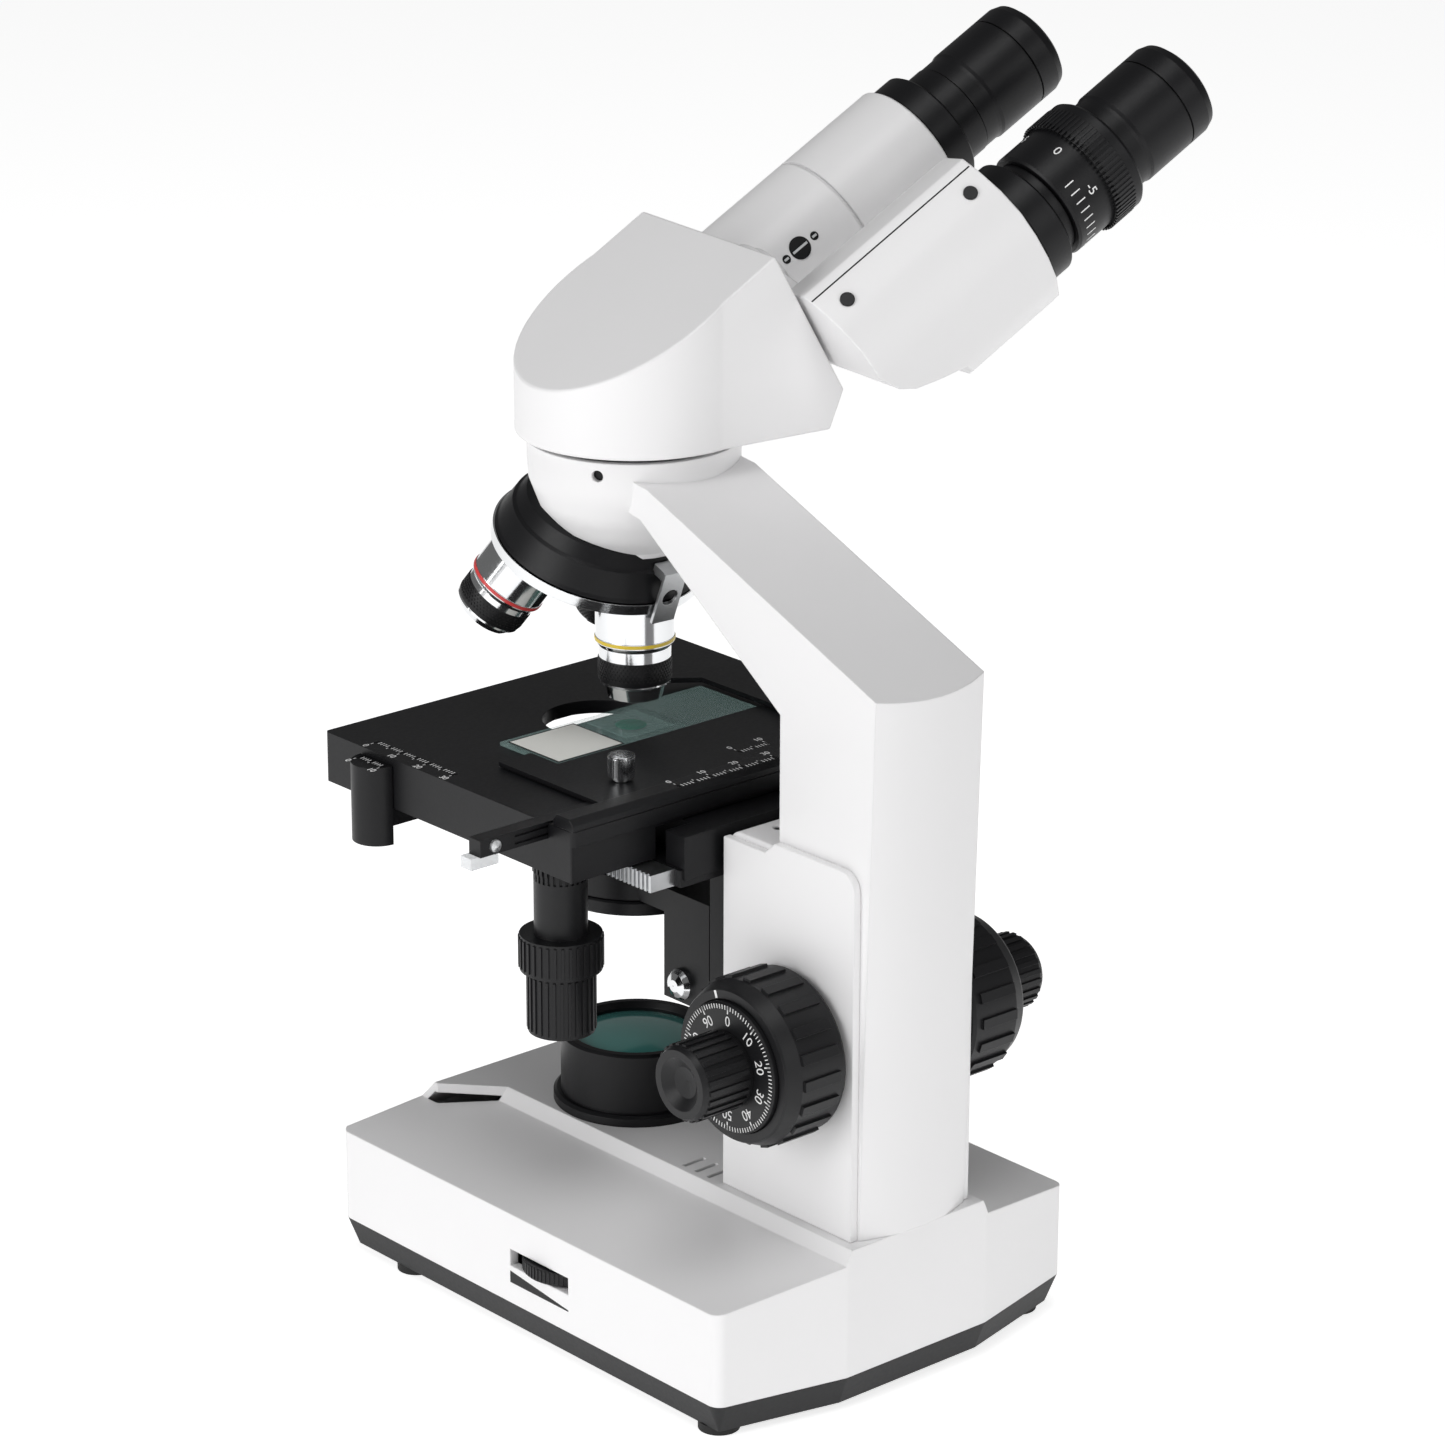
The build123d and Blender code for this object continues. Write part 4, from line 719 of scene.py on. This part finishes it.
@dataclass
class Eyepieces:
    """Lenses, diopter scale, cover seam and screw slots of the eyetubes, in millimetres."""

    offset: float = 34.7
    lens_height: float = 133.4
    seam: tuple[float, float] = (36.6, 7.6)
    seam_length: float = 62.6
    numbers: tuple[tuple[str, float], ...] = (("-5", 12.0), ("0", 62.0), ("5", 112.0))
    number_height: float = 4.0
    slots: tuple[tuple[float, float], ...] = ((31.0, 5.6), (25.5, 1.6), (36.8, 1.6))
    slot_angle: float = 27.0

    def build(self, shop: Workshop) -> None:
        """Makes the eye lenses, diopter ring's marks and grip, cover seam and screw slots."""
        joints = {j["name"]: j for j in shop.frame["joints"]}
        left = Vector(joints["diopter_turn"]["pos_m"])
        axis = Vector(joints["diopter_turn"]["axis"])
        across = axis.cross(Vector((0, 0, 1))).normalized()
        up = across.cross(axis)
        right = left - across * (2 * self.offset * MM)
        lens = [(0, 0), (9.4, 0), (9.4, 0.6), (7.0, 1.4), (3.5, 1.9), (0, 2.0)]
        for side, base, body in (("left", left, "diopter"), ("right", right, "right_tube")):
            place = placed(base + axis * (self.lens_height * MM - 0.4 * MM), axis, across)
            shop.lathe(f"{side}_eye_lens", lens, place, "dark_glass", body, 64)
        place = placed(left, axis, across)
        ticks = Ring(21, 17.12, (0.1, 0.34, 3.4), 83.5, arc=210.0, start=-30.0)
        shop.ring("diopter_ticks", ticks, place, "scale_white", "diopter")
        teeth = Ring(72, 18.25, (0.7, 0.75, 8.0), 96.6)
        shop.ring("diopter_grip", teeth, place, "black_moulding", "diopter")
        for label, angle in self.numbers:
            a = math.radians(angle)
            out = across * math.cos(a) + up * math.sin(a)
            spot = left + axis * (88.3 * MM) + out * (17.08 * MM)
            shop.text(f"diopter_number_{label.replace('-', 'minus_')}", label, self.number_height,
                      placed(spot, out, out.cross(axis) * -1), "scale_white", "diopter")
        self._seam(shop, joints["left_tube_swing"], across, up, axis)
        for s, wide in self.slots:
            a = math.radians(self.slot_angle)
            out = across * math.cos(a) + up * math.sin(a)
            spot = right + axis * (s * MM) + out * (20.52 * MM)
            slot = Ring(1, 0.0, (wide, 0.7, 0.16), 0.0)
            shop.ring(f"pivot_slot_{int(s)}", slot, placed(spot, out, axis), "brushed_steel", "right_tube")

    def _seam(self, shop: Workshop, swing: dict, across: Vector, up: Vector, axis: Vector) -> None:
        """Draws the fine dark seam of the left housing's prism cover.

        Args:
            shop: makes the piece.
            swing: the left housing's joint.
            across: direction towards the left.
            up: direction across the tube, upwards.
            axis: the tube's direction.
        """
        w, k = self.seam
        spot = Vector(swing["pos_m"]) + across * (w * MM) + up * (k * MM)
        run = across * 6.1 - up * 3.6
        line = Ring(1, 0.0, (0.45, 0.12, self.seam_length), self.seam_length / 2 + 1.6)
        shop.ring("left_cover_seam", line, placed(spot, axis, run), "black_moulding", "left_tube")


@dataclass
class BaseTrim:
    """Edge mark and brightness-wheel teeth of the base, in millimetres."""

    mark_y: tuple[float, float] = (-48.3, -22.4)
    mark_z: tuple[float, float] = (18.0, 21.6)
    side_x: float = -66.6

    def build(self, shop: Workshop) -> None:
        """Makes the brightness wedge and the teeth of the wheel."""
        (y0, y1), (z0, z1) = self.mark_y, self.mark_z
        shape = bmesh.new()
        outline = ((y0, z0), (y0, z0 + 0.4), (y1, z1), (y1, z0))
        near = [shape.verts.new(((self.side_x - 0.06) * MM, y * MM, z * MM)) for y, z in outline]
        far = [shape.verts.new(((self.side_x + 0.2) * MM, y * MM, z * MM)) for y, z in outline]
        shape.faces.new(near)
        shape.faces.new(far)
        for i in range(4):
            j = (i + 1) % 4
            shape.faces.new((near[i], near[j], far[j], far[i]))
        bmesh.ops.recalc_face_normals(shape, faces=shape.faces)
        mesh = bpy.data.meshes.new("brightness_mark")
        shape.to_mesh(mesh)
        shape.free()
        shop.keep("brightness_mark", mesh, Matrix.Identity(4), "black_enamel", "stand")
        low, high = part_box("brightness_wheel")
        centre = (low + high) / 2
        teeth = Ring(64, 13.9, (0.6, 0.6, 3.6), centre.z / MM)
        place = Matrix.Translation((centre.x, centre.y, 0))
        shop.ring("wheel_teeth", teeth, place, "black_moulding", "brightness_wheel")


@dataclass
class Studio:
    """Floor, lights and camera."""

    azimuth: float = -41.383
    elevation: float = 19.297
    roll: float = 0.129
    lens: float = 126.44
    sensor: float = 36.0
    place: tuple[float, float, float] = (-0.891594, -1.049864, 0.648421)
    floor_half: float = 6.0
    floor_glow: float = 0.72
    sky: float = 0.16
    aim: tuple[float, float, float] = (0, 0, 0.17)
    lights: tuple[tuple[str, tuple[float, float, float], float, float], ...] = (
        ("key", (-1.7, 0.1, 0.75), 1.1, 15), ("fill", (0.1, -1.9, 0.9), 1.2, 8),
        ("top", (-0.4, -0.5, 1.9), 0.9, 10))

    def build(self) -> None:
        """Makes the floor, the lights and the camera."""
        mesh = bpy.data.meshes.new("floor")
        half = self.floor_half
        sheet = [(-half, -half, 0), (half, -half, 0), (half, half, 0), (-half, half, 0)]
        mesh.from_pydata(sheet, [], [(0, 1, 2, 3)])
        material = bpy.data.materials.new("floor_paper")
        material.use_nodes = True
        shader = material.node_tree.nodes["Principled BSDF"]
        shader.inputs["Base Color"].default_value = (0.9, 0.9, 0.9, 1)
        shader.inputs["Emission Color"].default_value = (1, 1, 1, 1)
        shader.inputs["Emission Strength"].default_value = self.floor_glow
        shader.inputs["Roughness"].default_value = 0.9
        mesh.materials.append(material)
        floor = bpy.data.objects.new("floor", mesh)
        bpy.context.scene.collection.objects.link(floor)
        world = bpy.data.worlds.new("studio")
        world.use_nodes = True
        world.node_tree.nodes["Background"].inputs["Color"].default_value = (1, 1, 1, 1)
        world.node_tree.nodes["Background"].inputs["Strength"].default_value = self.sky
        bpy.context.scene.world = world
        for name, spot, size, power in self.lights:
            light = bpy.data.lights.new(name, "AREA")
            light.size, light.energy = size, power
            lamp = bpy.data.objects.new(name, light)
            bpy.context.scene.collection.objects.link(lamp)
            lamp.location = spot
            lamp.rotation_euler = (Vector(self.aim) - Vector(spot)).to_track_quat("-Z", "Y").to_euler()
        bpy.context.scene.view_settings.view_transform = "Standard"
        self._camera()

    def _camera(self) -> None:
        """Sets the camera at the calibrated place and angle."""
        a, e = math.radians(self.azimuth), math.radians(self.elevation)
        back = Vector((math.sin(a) * math.cos(e), -math.cos(a) * math.cos(e), math.sin(e)))
        right = Vector((0, 0, 1)).cross(back).normalized()
        turn = Matrix((right, back.cross(right), back)).transposed()
        data = bpy.data.cameras.new("camera")
        data.lens, data.sensor_width = self.lens, self.sensor
        camera = bpy.data.objects.new("camera", data)
        bpy.context.scene.collection.objects.link(camera)
        spin = Matrix.Rotation(math.radians(self.roll), 3, "Z")
        camera.matrix_world = Matrix.Translation(self.place) @ (turn @ spin).to_4x4()
        bpy.context.scene.camera = camera


def main() -> None:
    """Builds the microscope round the fixed frame."""
    logging.basicConfig(level=logging.INFO, format="%(name)s %(message)s")
    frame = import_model()
    Studio().build()
    shop = Workshop(Finishes(), frame)
    CadDress().dress(shop)
    assemblies = (Castings(), BaseTrim(), FocusDrive(), StageScales(), StageKnobs(), Nosepiece(),
                  Eyepieces())
    for assembly in assemblies:
        assembly.build(shop)
    bpy.context.view_layer.update()


if __name__ == "__main__":
    main()
